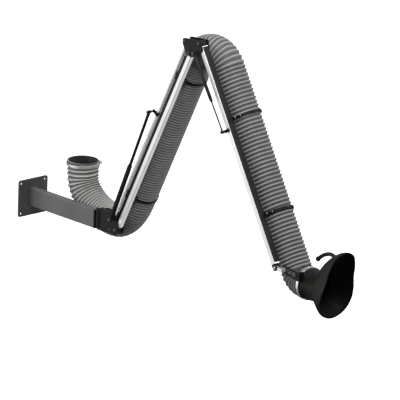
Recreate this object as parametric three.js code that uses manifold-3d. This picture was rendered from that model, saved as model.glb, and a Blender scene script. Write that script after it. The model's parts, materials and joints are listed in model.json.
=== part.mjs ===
// Fume extraction arm for a wall: a square wall plate and beam, a console that swivels on the
// beam's end, a parallelogram inner arm, an outer arm, two balance struts and a suction hood.
// A spiral hose runs along one side of the arms, from an upright inlet to the hood's neck.
// Millimetres, +Z up. Origin: centre of the wall plate's back face. +X points out of the wall.
import * as THREE from 'three';
import { mergeVertices } from 'three/addons/utils/BufferGeometryUtils.js';
import Module from 'manifold-3d';

const wasm = await Module();
wasm.setup();

// ---------------------------------------------------------------- driving dimensions
const GAP = 0.3;                 // free space left between pieces that touch

const PLATE_SIDE = 200;          // wall plate
const PLATE_THICKNESS = 8;
const PLATE_CORNER = 12;
const ANCHOR_INSET = 18;         // anchor hole centre to plate edge
const ANCHOR_RADIUS = 6.5;

const BEAM_HEIGHT = 100;         // rectangular beam tube
const BEAM_WIDTH = 40;
const BEAM_WALL = 4;
const BEAM_CORNER = 5;
const BEAM_END_PLATE = 8;
const REACH_TO_SWIVEL = 545;     // wall to the swivel's vertical axis
const BARREL_RADIUS = 22;        // swivel barrel on the beam's end
const BARREL_STANDOFF = 7;       // from the barrel's side to the beam's end plate
const BARREL_LOW = -34;
const BARREL_HIGH = 54;
const SWIVEL_PIN_RADIUS = 9;
const LUG_RADIUS = 20;           // console lugs above and below the barrel
const LUG_THICKNESS = 12;

const CHEEK_START = 27;          // console cheeks from the swivel axis
const CHEEK_THICKNESS = 6;
const BOLT_RADIUS = 6;
const HEAD_RADIUS = 10;
const HEAD_HEIGHT = 6;

const LINK_SHIFT = -35;          // link pivot from the main pivot, on console and elbow alike
const LINK_RISE = 56;
const SHOULDER_X = 147;          // main pivot from the swivel axis
const SHOULDER_Z = -19;

const INNER_ANGLE = 63.7;        // rest angles above the horizontal, in degrees
const OUTER_ANGLE = -59.5;
const INNER_LENGTH = 1220;       // pivot to pivot
const OUTER_LENGTH = 1238;
const INNER_BAR = 25;            // square profile
const CONSOLE_GAP = INNER_BAR + 7;   // clear width between the console cheeks
const OUTER_BAR_HEIGHT = 30;
const OUTER_BAR_WIDTH = 38;
const ELBOW_GAP = OUTER_BAR_WIDTH + 1;   // clear width between the elbow cheeks
const BAR_WALL = 2.5;
const PLUG_LENGTH = 50;          // how far an end fitting reaches into its bar
const LINK_BAR_RADIUS = 8;       // round rod
const EYE_RADIUS = 14;

const ELBOW_X = 73.5;            // elbow pivot from the inner arm's upper pivot
const ELBOW_Z = 67;

const BALANCE_FOOT_X = -13;      // lower strut's foot from the main pivot
const BALANCE_FOOT_Z = 61;
const BALANCE_HEAD_AT = 721;     // strut head along the link bar, and its height over the bar
const BALANCE_HEAD_RISE = 23;
const BALANCE_RADIUS = 12.5;
const BALANCE_CYLINDER = 350;
const BALANCE_ROD_RADIUS = 8;
const BALANCE_CLAMP_WALL = 4;     // the bracket's ring around the link bar
const STRUT_FOOT_X = 60;         // upper strut's foot from the inner arm's upper pivot
const STRUT_FOOT_Z = 14;
const STRUT_HEAD_AT = 478;       // strut head along the outer bar, and its height over the bar
const STRUT_HEAD_RISE = -22;
const STRUT_BRACKET_THICKNESS = 4;
const STRUT_RADIUS = 9;
const STRUT_CYLINDER = 262;
const STRUT_ROD_RADIUS = 4;
const STUD_RADIUS = 5;
const ROD_EYE_RADIUS = STUD_RADIUS + 4;
const STRUT_CLEARANCE = 1.5;     // from the bolt heads to the thicker strut
const STRUT_Y = -(CONSOLE_GAP / 2 + CHEEK_THICKNESS + HEAD_HEIGHT + BALANCE_RADIUS + STRUT_CLEARANCE);

const HOSE_RADIUS = 86;          // outside of the ribs
const HOSE_WALL = 5;
const HOSE_CLEARANCE = 0.5;      // from the elbow's nuts to the hose
const HOSE_Y = HOSE_RADIUS + ELBOW_GAP / 2 + CHEEK_THICKNESS + HEAD_HEIGHT + HOSE_CLEARANCE;
const HOSE_SIDES = 24;
const INNER_HOSE_RISE = 41;      // hose centre over the inner bar and over the outer bar
const OUTER_HOSE_RISE = 6;
const INLET_X = 268;             // upright inlet
const INLET_TOP = 243;
const INLET_LENGTH = 80;
const HOSE_LOW_Z = -25;          // hose centre where it passes under the beam
const INNER_HOSE_START = 150;    // along the inner arm from the main pivot
const ELBOW_BEND_RADIUS = 140;
const WRIST_BEND_RADIUS = HOSE_RADIUS + 10;
const WRIST_HOSE_LENGTH = 100;   // length given to the wrist bend before the wrist pivot
const HOSE_JOINT = 0.6;          // gap between two stretches of hose

const BAND_WIDTH = 16;           // hose bands
const BAND_THICKNESS = 4;
const BAND_CLEARANCE = 1;
const OUTER_BAND_SHARES = [0.343, 0.77];    // bands along the arms, as shares of their length
const INNER_BAND_SHARES = [0.164, 0.828];

const WRIST_EAR_RADIUS = 15;
const WRIST_BLOCK_LENGTH = 34;
const EAR_THICKNESS = 8;
const EAR_GAP = 14;              // clear width between the wrist ears
const NECK_X = 134;              // neck face from the wrist pivot
const NECK_Z = -75;
const COLLAR_LENGTH = 24;
const COLLAR_RADIUS = HOSE_RADIUS - 2;
const SPIGOT_RADIUS = HOSE_RADIUS - HOSE_WALL - 1.5;
const SPIGOT_LENGTH = 24;

const NECK_RADIUS = HOSE_RADIUS - 4;   // hood
const NECK_LENGTH = 62;
const SHELL_WALL = 4;
const FLARE_POWER = 1.6;         // how fast the neck's circle turns into the mouth's outline
const FLARE_DEPTH = 126;         // end of the neck to the centre of the mouth
const MOUTH_RISE = 42;
const MOUTH_TILT = 13.2;         // top of the mouth leans forward, in degrees
const MOUTH_HEIGHT = 386;
const MOUTH_WIDTH = 234;
const HANDLE_RADIUS = 10.5;
const HANDLE_END_RADIUS = 14;    // ball on the handle's free end
const GUARD_WIRE = 2.5;
const HOOD_SIDES = 36;           // facets around the shell, and rings along the flare
const HOOD_STEPS = 7;

// ---------------------------------------------------------------- finishes
const finishes = {
  blackPaint: { color: 0x2e2f31, roughness: 0.35, metalness: 0.1 },
  greyPaint: { color: 0x4a4b4d, roughness: 0.3, metalness: 0.1 },
  aluminium: { color: 0xd5d6d8, roughness: 0.3, metalness: 0.9 },
  steel: { color: 0xb9babc, roughness: 0.25, metalness: 1.0 },
  blackMetal: { color: 0x1c1c1d, roughness: 0.3, metalness: 0.4 },
  hose: { color: 0x8d8f8c, roughness: 0.55, metalness: 0.0 },
  blackPlastic: { color: 0x1d1c19, roughness: 0.45, metalness: 0.0 },
};

const arm = new THREE.Group();

function add(name, geometry, finish, parent = arm) {
  geometry.computeVertexNormals();
  const mesh = new THREE.Mesh(geometry, new THREE.MeshStandardMaterial(finishes[finish]));
  mesh.name = name;
  parent.add(mesh);
  return mesh;
}

// ---------------------------------------------------------------- solids
function toSolid(geometry) {
  const bare = geometry.clone();
  bare.deleteAttribute('normal');
  bare.deleteAttribute('uv');
  const merged = mergeVertices(bare, 1e-4);
  const triangles = [];
  for (let i = 0; i < merged.index.count; i += 3) {
    const [a, b, c] = [0, 1, 2].map((k) => merged.index.getX(i + k));
    if (a !== b && b !== c && c !== a) triangles.push(a, b, c);
  }
  return new wasm.Manifold(new wasm.Mesh({
    numProp: 3,
    vertProperties: Float32Array.from(merged.attributes.position.array),
    triVerts: Uint32Array.from(triangles),
  }));
}

function toGeometry(solid) {
  const mesh = solid.getMesh();
  const geometry = new THREE.BufferGeometry();
  geometry.setAttribute('position', new THREE.BufferAttribute(mesh.vertProperties, 3));
  geometry.setIndex(new THREE.BufferAttribute(mesh.triVerts, 1));
  return geometry;
}

function join(...geometries) {
  const solids = geometries.map(toSolid);
  return toGeometry(solids.reduce((sum, next) => sum.add(next)));
}

function cut(geometry, ...tools) {
  return toGeometry(tools.map(toSolid).reduce((rest, tool) => rest.subtract(tool), toSolid(geometry)));
}

// ---------------------------------------------------------------- shapes
const radians = THREE.MathUtils.degToRad;

function roundedRectangle(width, height, radius) {
  const x = width / 2;
  const y = height / 2;
  const shape = new THREE.Shape();
  shape.moveTo(x, y - radius);
  shape.absarc(x - radius, y - radius, radius, 0, Math.PI / 2);
  shape.absarc(radius - x, y - radius, radius, Math.PI / 2, Math.PI);
  shape.absarc(radius - x, radius - y, radius, Math.PI, 1.5 * Math.PI);
  shape.absarc(x - radius, radius - y, radius, 1.5 * Math.PI, 2 * Math.PI);
  return shape;
}

// A polygon whose corners are rounded by a curve that starts `round` before each corner.
function roundedPolygon(corners, round) {
  const points = corners.map(([x, y]) => new THREE.Vector2(x, y));
  const shape = new THREE.Shape();
  points.forEach((point, i) => {
    const before = points[(i + points.length - 1) % points.length];
    const after = points[(i + 1) % points.length];
    const reachIn = Math.min(round, point.distanceTo(before) / 2.2);
    const reachOut = Math.min(round, point.distanceTo(after) / 2.2);
    const start = point.clone().add(before.clone().sub(point).setLength(reachIn));
    const end = point.clone().add(after.clone().sub(point).setLength(reachOut));
    if (i === 0) shape.moveTo(start.x, start.y);
    else shape.lineTo(start.x, start.y);
    shape.quadraticCurveTo(point.x, point.y, end.x, end.y);
  });
  shape.closePath();
  return shape;
}

function drill(shape, x, y, radius) {
  const hole = new THREE.Path();
  hole.absarc(x, y, radius, 0, 2 * Math.PI);
  shape.holes.push(hole);
  return shape;
}

function extrude(shape, depth, curveSegments = 6) {
  return new THREE.ExtrudeGeometry(shape, { depth, bevelEnabled: false, curveSegments });
}

// A plate drawn in X and Z, standing between two Y values.
function sidePlate(shape, yNear, yFar) {
  return extrude(shape, yFar - yNear).rotateX(Math.PI / 2).translate(0, yFar, 0);
}

// A profile drawn with Z and Y, running between two X values.
function profileBar(shape, xStart, xEnd) {
  return extrude(shape, xEnd - xStart).rotateY(Math.PI / 2).translate(xStart, 0, 0);
}

function hollowRectangle(height, width, wall, corner) {
  const shape = roundedRectangle(height, width, corner);
  const inside = roundedRectangle(height - 2 * wall, width - 2 * wall, Math.max(corner - wall, 0.5));
  shape.holes.push(new THREE.Path(inside.getPoints(3).reverse()));
  return shape;
}

function box(xLow, xHigh, yLow, yHigh, zLow, zHigh) {
  return new THREE.BoxGeometry(xHigh - xLow, yHigh - yLow, zHigh - zLow)
    .translate((xLow + xHigh) / 2, (yLow + yHigh) / 2, (zLow + zHigh) / 2);
}

function cylinderY(radius, yLow, yHigh, x = 0, z = 0, sides = 16) {
  return new THREE.CylinderGeometry(radius, radius, yHigh - yLow, sides)
    .translate(x, (yLow + yHigh) / 2, z);
}

function cylinderX(radius, xLow, xHigh, y = 0, z = 0, sides = 16) {
  return new THREE.CylinderGeometry(radius, radius, xHigh - xLow, sides)
    .rotateZ(Math.PI / 2).translate((xLow + xHigh) / 2, y, z);
}

function cylinderZ(radius, zLow, zHigh, x = 0, y = 0, sides = 16) {
  return new THREE.CylinderGeometry(radius, radius, zHigh - zLow, sides)
    .rotateX(Math.PI / 2).translate(x, y, (zLow + zHigh) / 2);
}

// A ring around the X axis with a rectangular section.
function ringX(inside, outside, xLow, xHigh, y = 0, z = 0, sides = HOSE_SIDES) {
  const section = [[inside, xLow], [outside, xLow], [outside, xHigh], [inside, xHigh], [inside, xLow]];
  const points = section.map(([r, x]) => new THREE.Vector2(r, x));
  return new THREE.LatheGeometry(points, sides).rotateZ(-Math.PI / 2).translate(0, y, z);
}

// A bolt across two cheeks: hexagon head on the near side and nut on the far side.
function crossBolt(yNear, yFar, radius = BOLT_RADIUS, head = HEAD_RADIUS) {
  const headTop = yNear - GAP - HEAD_HEIGHT;
  const nutTop = yFar + GAP + HEAD_HEIGHT;
  return join(
    cylinderY(radius, headTop + 1, nutTop - 1),
    cylinderY(head, headTop, yNear - GAP, 0, 0, 6),
    cylinderY(head, yFar + GAP, nutTop, 0, 0, 6),
  );
}

function group(x, y, z, angle = 0) {
  const frame = new THREE.Group();
  frame.position.set(x, y, z);
  frame.rotation.y = radians(-angle);
  arm.add(frame);
  return frame;
}

// The point that lies x along and z above a line that starts at `from` and rises at `angle`.
function along(from, angle, x, z = 0) {
  const turn = radians(angle);
  return new THREE.Vector2(
    from.x + x * Math.cos(turn) - z * Math.sin(turn),
    from.y + x * Math.sin(turn) + z * Math.cos(turn),
  );
}

// ---------------------------------------------------------------- places of the pivots, in X and Z
const mainPivot = new THREE.Vector2(REACH_TO_SWIVEL + SHOULDER_X, SHOULDER_Z);
const linkStep = new THREE.Vector2(LINK_SHIFT, LINK_RISE);
const linkPivot = mainPivot.clone().add(linkStep);
const headPivot = along(mainPivot, INNER_ANGLE, INNER_LENGTH);
const linkHead = headPivot.clone().add(linkStep);
const elbow = headPivot.clone().add(new THREE.Vector2(ELBOW_X, ELBOW_Z));
const wrist = along(elbow, OUTER_ANGLE, OUTER_LENGTH);
const neck = wrist.clone().add(new THREE.Vector2(NECK_X, NECK_Z));
const balanceFoot = mainPivot.clone().add(new THREE.Vector2(BALANCE_FOOT_X, BALANCE_FOOT_Z));
const balanceHead = along(linkPivot, INNER_ANGLE, BALANCE_HEAD_AT, BALANCE_HEAD_RISE);
const strutFoot = headPivot.clone().add(new THREE.Vector2(STRUT_FOOT_X, STRUT_FOOT_Z));
const strutHead = along(elbow, OUTER_ANGLE, STRUT_HEAD_AT, STRUT_HEAD_RISE);

// ---------------------------------------------------------------- wall bracket
const beamEnd = REACH_TO_SWIVEL - BARREL_RADIUS - BARREL_STANDOFF;

function wallBracket() {
  const plate = roundedRectangle(PLATE_SIDE, PLATE_SIDE, PLATE_CORNER);
  const pitch = PLATE_SIDE / 2 - ANCHOR_INSET;
  for (const y of [-pitch, pitch]) {
    for (const z of [-pitch, pitch]) drill(plate, z, y, ANCHOR_RADIUS);
  }
  add('wall_plate', profileBar(plate, 0, PLATE_THICKNESS), 'greyPaint');

  const tube = hollowRectangle(BEAM_HEIGHT, BEAM_WIDTH, BEAM_WALL, BEAM_CORNER);
  add('beam_tube', profileBar(tube, PLATE_THICKNESS + GAP, beamEnd - GAP), 'greyPaint');

  const halfWidth = BEAM_WIDTH / 2;
  const halfHeight = BEAM_HEIGHT / 2;
  const plateEnd = beamEnd + BEAM_END_PLATE;
  const endPlate = box(beamEnd, plateEnd, -halfWidth, halfWidth, -halfHeight, halfHeight);
  const barrel = cylinderZ(BARREL_RADIUS, BARREL_LOW, BARREL_HIGH, REACH_TO_SWIVEL, 0, 32);
  const bore = cylinderZ(SWIVEL_PIN_RADIUS + GAP, BARREL_LOW - 1, BARREL_HIGH + 1, REACH_TO_SWIVEL);
  add('swivel_barrel', cut(join(endPlate, barrel), bore), 'blackPaint');
}

// ---------------------------------------------------------------- console
const lugHigh = BARREL_HIGH + GAP + LUG_THICKNESS;
const lugLow = BARREL_LOW - GAP - LUG_THICKNESS;

function pivotConsole() {
  const frame = group(REACH_TO_SWIVEL, 0, 0);
  const half = CONSOLE_GAP / 2;
  const top = lugHigh + 4;
  const pivot = { x: SHOULDER_X, z: SHOULDER_Z };
  const linkAt = { x: pivot.x + LINK_SHIFT, z: pivot.z + LINK_RISE };
  const corners = [
    [CHEEK_START, top], [linkAt.x + 23, top], [linkAt.x + 31, top - 12], [pivot.x + 20, pivot.z + 12],
    [pivot.x + 20, pivot.z - 14], [pivot.x + 6, lugLow], [CHEEK_START, lugLow],
  ];
  const footAt = { x: pivot.x + BALANCE_FOOT_X, z: pivot.z + BALANCE_FOOT_Z };
  const cheeks = [
    ['console_cheek_near', -half - CHEEK_THICKNESS, -half],
    ['console_cheek_far', half, half + CHEEK_THICKNESS],
  ];
  for (const [name, yNear, yFar] of cheeks) {
    const shape = roundedPolygon(corners, 8);
    for (const hole of [pivot, linkAt]) drill(shape, hole.x, hole.z, BOLT_RADIUS + GAP);
    add(name, sidePlate(shape, yNear, yFar), 'blackPaint', frame);
  }

  const coreEnd = linkAt.x - EYE_RADIUS - 14;
  const core = box(CHEEK_START + 4, coreEnd, -half + GAP, half - GAP, lugLow, lugHigh);
  const lugs = [lugLow, lugHigh - LUG_THICKNESS].flatMap((low) => [
    cylinderZ(LUG_RADIUS, low, low + LUG_THICKNESS, 0, 0, 32),
    box(0, CHEEK_START + 8, -half + GAP, half - GAP, low, low + LUG_THICKNESS),
  ]);
  const pinBore = cylinderZ(SWIVEL_PIN_RADIUS + GAP, lugLow - 1, lugHigh + 1);
  add('console_yoke', cut(join(core, ...lugs), pinBore), 'blackPaint', frame);

  const pin = join(
    cylinderZ(SWIVEL_PIN_RADIUS, lugLow - 8, lugHigh + 2),
    cylinderZ(SWIVEL_PIN_RADIUS + 5, lugHigh + GAP, lugHigh + 5),
    cylinderZ(SWIVEL_PIN_RADIUS + 3, lugLow - 9, lugLow - GAP, 0, 0, 6),
  );
  add('swivel_pin', pin, 'steel', frame);

  const outside = half + CHEEK_THICKNESS;
  const bolts = [['shoulder_bolt', pivot], ['link_bolt_low', linkAt]];
  for (const [name, at] of bolts) {
    const bolt = crossBolt(-outside, outside);
    add(name, bolt.translate(at.x, 0, at.z), 'steel', frame);
  }
  const stud = join(
    cylinderY(STUD_RADIUS, STRUT_Y - BALANCE_RADIUS, -outside - GAP),
    cylinderY(STUD_RADIUS + 4, STRUT_Y - BALANCE_RADIUS - 5, STRUT_Y - BALANCE_RADIUS),
    cylinderY(STUD_RADIUS + 2, -outside - 1.5, -outside - GAP),
  );
  add('balance_foot_stud', stud.translate(footAt.x, 0, footAt.z), 'steel', frame);
}

// ---------------------------------------------------------------- balance struts
// A cylinder with an eye at its foot, and a rod with an eye and a short stud at its head.
// The stud ends just before the face of the bracket that it is pinned to.
function strut(prefix, foot, head, size) {
  const reach = head.distanceTo(foot);
  const angle = THREE.MathUtils.radToDeg(Math.atan2(head.y - foot.y, head.x - foot.x));
  const frame = group(foot.x, STRUT_Y, foot.y, angle);
  const eye = size.radius + 1;
  const body = join(
    cylinderX(size.radius, 16, size.cylinder),
    cylinderX((size.radius + size.rod) / 2, size.cylinder - 1, size.cylinder + 9),
    cylinderY(eye, -size.radius * 0.62, size.radius * 0.62),
    box(0, 20, -size.radius * 0.6, size.radius * 0.6, -size.radius * 0.6, size.radius * 0.6),
  );
  const footBore = cylinderY(STUD_RADIUS + GAP, -size.radius - 1, size.radius + 1);
  const rodBore = cylinderX(size.rod + GAP, 24, size.cylinder + 10);
  add(`${prefix}_cylinder`, cut(body, footBore, rodBore), 'blackMetal', frame);

  const studLength = size.bracketFace - STRUT_Y - GAP * 2;
  const rod = join(
    cylinderX(size.rod, size.cylinder - 90, reach - 4, 0, 0, 16),
    cylinderY(ROD_EYE_RADIUS, -size.rod - 2, size.rod + 2, reach),
    cylinderY(STUD_RADIUS, -size.rod - 4, studLength, reach),
    cylinderY(STUD_RADIUS + 3, -size.rod - 7, -size.rod - 3, reach),
  );
  add(`${prefix}_rod`, rod, 'blackMetal', frame);
}

// ---------------------------------------------------------------- hose
function hoseSection() {
  const shape = new THREE.Shape();
  shape.absarc(0, 0, HOSE_RADIUS, 0, 2 * Math.PI);
  return drill(shape, 0, 0, HOSE_RADIUS - HOSE_WALL);
}

function straightHose(xStart, xEnd, z) {
  return ringX(HOSE_RADIUS - HOSE_WALL, HOSE_RADIUS, xStart, xEnd, HOSE_Y, z);
}

// Distances from two points, along their directions, to the corner where the directions meet.
function corner(start, startWay, end, endWay) {
  const span = end.clone().sub(start);
  const turn = startWay.cross(endWay);
  return [span.cross(endWay) / turn, startWay.cross(span) / turn];
}

const beside = (p) => new THREE.Vector3(p.x, HOSE_Y, p.y);

// A hose bend between two points and their directions, as one smooth curve.
function bendCurve(start, startAngle, end, endAngle) {
  const startWay = along(new THREE.Vector2(), startAngle, 1);
  const endWay = along(new THREE.Vector2(), endAngle, 1);
  const [before, after] = corner(start, startWay, end, endWay);
  const turned = Math.acos(startWay.dot(endWay));
  const share = (4 / 3) * Math.tan(turned / 4) / Math.tan(turned / 2);
  const handleIn = start.clone().addScaledVector(startWay, before * share);
  const handleOut = end.clone().addScaledVector(endWay, -after * share);
  return new THREE.CubicBezierCurve3(...[start, handleIn, handleOut, end].map(beside));
}

// A straight run, a bend of one radius about the corner, and a straight run.
function lineAndBend(start, startAngle, end, endAngle, radius) {
  const startWay = along(new THREE.Vector2(), startAngle, 1);
  const endWay = along(new THREE.Vector2(), endAngle, 1);
  const [before, after] = corner(start, startWay, end, endWay);
  const tangent = radius * Math.tan(Math.acos(startWay.dot(endWay)) / 2);
  const bendStart = start.clone().addScaledVector(startWay, before - tangent);
  const bendEnd = end.clone().addScaledVector(endWay, tangent - after);
  const path = new THREE.CurvePath();
  path.add(new THREE.LineCurve3(beside(start), beside(bendStart)));
  path.add(bendCurve(bendStart, startAngle, bendEnd, endAngle));
  path.add(new THREE.LineCurve3(beside(bendEnd), beside(end)));
  return path;
}

function bentHose(curve, steps) {
  const options = { steps, curveSegments: HOSE_SIDES / 2, bevelEnabled: false, extrudePath: curve };
  return new THREE.ExtrudeGeometry(hoseSection(), options);
}

// Where two lines cross, as the distance along the first.
function crossingAt(from, angle, other, otherAngle) {
  const way = along(new THREE.Vector2(), angle, 1);
  const otherWay = along(new THREE.Vector2(), otherAngle, 1);
  return other.clone().sub(from).cross(otherWay) / way.cross(otherWay);
}

const innerHoseBase = along(mainPivot, INNER_ANGLE, 0, INNER_HOSE_RISE);
const outerHoseBase = along(elbow, OUTER_ANGLE, 0, OUTER_HOSE_RISE);
const elbowTurn = INNER_ANGLE - OUTER_ANGLE;
const elbowTangent = ELBOW_BEND_RADIUS * Math.tan(radians(elbowTurn / 2));
const innerHoseEnd = crossingAt(innerHoseBase, INNER_ANGLE, outerHoseBase, OUTER_ANGLE) - elbowTangent;
const outerHoseStart = crossingAt(outerHoseBase, OUTER_ANGLE, innerHoseBase, INNER_ANGLE) + elbowTangent;
const outerHoseEnd = OUTER_LENGTH - WRIST_HOSE_LENGTH;
const elbowMiddleAngle = (INNER_ANGLE + OUTER_ANGLE) / 2;

function elbowMiddle() {
  const start = along(innerHoseBase, INNER_ANGLE, innerHoseEnd);
  const centre = along(start, INNER_ANGLE, 0, -ELBOW_BEND_RADIUS);
  return along(centre, elbowMiddleAngle, 0, ELBOW_BEND_RADIUS);
}

function hose() {
  const inletEnd = INLET_TOP - INLET_LENGTH;
  const inlet = ringX(HOSE_RADIUS - HOSE_WALL, HOSE_RADIUS, inletEnd, INLET_TOP);
  add('hose_inlet', inlet.rotateY(-Math.PI / 2).translate(INLET_X, HOSE_Y, 0), 'hose');

  const underBeam = new THREE.Vector2(REACH_TO_SWIVEL, HOSE_LOW_Z);
  const inletFoot = new THREE.Vector2(INLET_X, inletEnd - HOSE_JOINT);
  const baseCurve = bendCurve(inletFoot, -90, underBeam, 0);
  add('hose_base_bend', bentHose(baseCurve, 8), 'hose');

  const lowStart = underBeam.clone().add(new THREE.Vector2(HOSE_JOINT, 0));
  const lowEnd = along(innerHoseBase, INNER_ANGLE, INNER_HOSE_START - HOSE_JOINT);
  add('hose_shoulder_bend', bentHose(bendCurve(lowStart, 0, lowEnd, INNER_ANGLE), 8), 'hose');

  const innerFrame = group(mainPivot.x, 0, mainPivot.y, INNER_ANGLE);
  add('hose_inner', straightHose(INNER_HOSE_START, innerHoseEnd, INNER_HOSE_RISE), 'hose', innerFrame);

  const middle = elbowMiddle();
  const rise = along(innerHoseBase, INNER_ANGLE, innerHoseEnd + HOSE_JOINT);
  const beforeMiddle = along(middle, elbowMiddleAngle, -HOSE_JOINT / 2);
  add('hose_elbow_rise', bentHose(bendCurve(rise, INNER_ANGLE, beforeMiddle, elbowMiddleAngle), 5), 'hose');
  const afterMiddle = along(middle, elbowMiddleAngle, HOSE_JOINT / 2);
  const fall = along(outerHoseBase, OUTER_ANGLE, outerHoseStart - HOSE_JOINT);
  add('hose_elbow_fall', bentHose(bendCurve(afterMiddle, elbowMiddleAngle, fall, OUTER_ANGLE), 5), 'hose');

  const outerFrame = group(elbow.x, 0, elbow.y, OUTER_ANGLE);
  add('hose_outer', straightHose(outerHoseStart, outerHoseEnd, OUTER_HOSE_RISE), 'hose', outerFrame);

  const wristStart = along(outerHoseBase, OUTER_ANGLE, outerHoseEnd + HOSE_JOINT);
  const neckFace = new THREE.Vector2(neck.x - 4, neck.y);
  const wristCurve = lineAndBend(wristStart, OUTER_ANGLE, neckFace, 0, WRIST_BEND_RADIUS);
  add('hose_wrist_bend', bentHose(wristCurve, 12), 'hose');
}

// ---------------------------------------------------------------- hose bands
const bandInside = HOSE_RADIUS + BAND_CLEARANCE;
const bandOutside = bandInside + BAND_THICKNESS;

// A worm-drive band around a hose that runs along X. `turn` places the screw housing: 0 is
// towards -Y and 90 is up.
function hoseBand(name, frame, x, z, turn) {
  const seat = bandOutside + 5;
  const housing = box(-7, 7, -seat - 6, -seat + 7, -13, 13);
  const bore = cylinderZ(4 + GAP, -14, 14, 0, -seat - 1);
  const swing = radians(-turn);
  const ring = ringX(bandInside, bandOutside, -BAND_WIDTH / 2, BAND_WIDTH / 2);
  const hollow = cylinderX(bandInside, -20, 20, 0, 0, HOSE_SIDES);
  const band = cut(join(ring, housing.rotateX(swing)), bore.rotateX(swing), hollow);
  add(name, band.translate(x, HOSE_Y, z), 'blackMetal', frame);
  const screw = join(
    cylinderZ(4, -16, 16, 0, -seat - 1, 16),
    cylinderZ(6.5, 13 + GAP, 20, 0, -seat - 1, 6),
  );
  add(`${name}_screw`, screw.rotateX(swing).translate(x, HOSE_Y, z), 'steel', frame);
}

// A saddle plate on the side of a bar, hollowed to receive the band.
function hoseSaddle(name, frame, x, barSide, zLow, zHigh, hoseZ) {
  const plate = box(x - 20, x + 20, barSide + GAP, HOSE_Y - bandOutside + 9, zLow, zHigh);
  const band = cylinderX(bandOutside + GAP, x - 30, x + 30, HOSE_Y, hoseZ, 48);
  add(name, cut(plate, band), 'blackPaint', frame);
}

// ---------------------------------------------------------------- inner arm
function innerArm() {
  const frame = group(mainPivot.x, 0, mainPivot.y, INNER_ANGLE);
  const profile = hollowRectangle(INNER_BAR, INNER_BAR, BAR_WALL, 2.5);
  const barStart = EYE_RADIUS + 10;
  const barEnd = INNER_LENGTH - barStart;
  add('inner_bar', profileBar(profile, barStart, barEnd), 'aluminium', frame);

  const half = INNER_BAR / 2;
  const inside = half - BAR_WALL - GAP;
  const eyeBore = (x) => cylinderY(BOLT_RADIUS + GAP, -half - 1, half + 1, x);
  const ends = [
    ['inner_bar_foot', 0, barStart - GAP, barStart + PLUG_LENGTH],
    ['inner_bar_head', INNER_LENGTH, barEnd + GAP, barEnd - PLUG_LENGTH],
  ];
  for (const [name, eyeX, shoulder, plugEnd] of ends) {
    const fitting = join(
      cylinderY(half, -half, half, eyeX),
      box(Math.min(eyeX, shoulder), Math.max(eyeX, shoulder), -half, half, -half, half),
      box(Math.min(eyeX, plugEnd), Math.max(eyeX, plugEnd), -inside, inside, -inside, inside),
    );
    add(name, cut(fitting, eyeBore(eyeX)), 'blackPaint', frame);
  }
  INNER_BAND_SHARES.forEach((share, i) => {
    const x = share * INNER_LENGTH;
    hoseBand(`inner_band_${i + 1}`, frame, x, INNER_HOSE_RISE, 150);
    hoseSaddle(`inner_saddle_${i + 1}`, frame, x, half, -half + 2, INNER_HOSE_RISE + 12, INNER_HOSE_RISE);
  });
}

function linkBar() {
  const frame = group(linkPivot.x, 0, linkPivot.y, INNER_ANGLE);
  const end = INNER_LENGTH;
  const bar = cut(
    join(
      cylinderX(LINK_BAR_RADIUS, 0, end),
      cylinderY(EYE_RADIUS - 2, -LINK_BAR_RADIUS, LINK_BAR_RADIUS, 0),
      cylinderY(EYE_RADIUS - 2, -LINK_BAR_RADIUS, LINK_BAR_RADIUS, end),
    ),
    cylinderY(BOLT_RADIUS + GAP, -20, 20, 0),
    cylinderY(BOLT_RADIUS + GAP, -20, 20, end),
  );
  add('link_bar', bar, 'aluminium', frame);

  const clampOuter = LINK_BAR_RADIUS + BALANCE_CLAMP_WALL;
  const at = BALANCE_HEAD_AT;
  const bracket = cut(
    join(
      cylinderX(clampOuter, at - 10, at + 10),
      box(at - 8, at + 8, -clampOuter, -clampOuter + 6, 0, BALANCE_HEAD_RISE + 8),
    ),
    cylinderX(LINK_BAR_RADIUS + GAP, at - 20, at + 20),
  );
  add('balance_bracket', bracket, 'blackPaint', frame);
}

// ---------------------------------------------------------------- elbow bracket
function elbowBracket() {
  const frame = group(headPivot.x, 0, headPivot.y);
  const half = ELBOW_GAP / 2;
  const outside = half + CHEEK_THICKNESS;
  const linkAt = { x: LINK_SHIFT, z: LINK_RISE };
  const corners = [
    [linkAt.x - 17, linkAt.z - 14], [linkAt.x - 15, linkAt.z + 15], [linkAt.x + 30, linkAt.z + 20],
    [ELBOW_X + 22, ELBOW_Z + 18], [ELBOW_X + 28, ELBOW_Z - 32], [ELBOW_X + 10, STRUT_FOOT_Z - 6],
    [STRUT_FOOT_X - 4, STRUT_FOOT_Z - 14], [10, -18], [-16, -16],
  ];
  const pivots = [{ x: 0, z: 0 }, linkAt, { x: ELBOW_X, z: ELBOW_Z }];
  const cheeks = [['elbow_cheek_near', -outside, -half], ['elbow_cheek_far', half, outside]];
  for (const [name, yNear, yFar] of cheeks) {
    const shape = roundedPolygon(corners, 14);
    for (const hole of pivots) drill(shape, hole.x, hole.z, BOLT_RADIUS + GAP);
    add(name, sidePlate(shape, yNear, yFar), 'blackPaint', frame);
  }
  const names = ['inner_head_bolt', 'link_bolt_high', 'elbow_bolt'];
  pivots.forEach((at, i) => {
    const size = i === 0 ? [BOLT_RADIUS, HEAD_RADIUS - 2] : [BOLT_RADIUS, HEAD_RADIUS];
    add(names[i], crossBolt(-outside, outside, ...size).translate(at.x, 0, at.z), 'steel', frame);
  });
  const stud = join(
    cylinderY(STUD_RADIUS, STRUT_Y - STRUT_RADIUS, -outside - GAP),
    cylinderY(STUD_RADIUS + 3, STRUT_Y - STRUT_RADIUS - 4, STRUT_Y - STRUT_RADIUS),
  );
  add('strut_foot_stud', stud.translate(STRUT_FOOT_X, 0, STRUT_FOOT_Z), 'steel', frame);
}

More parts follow.
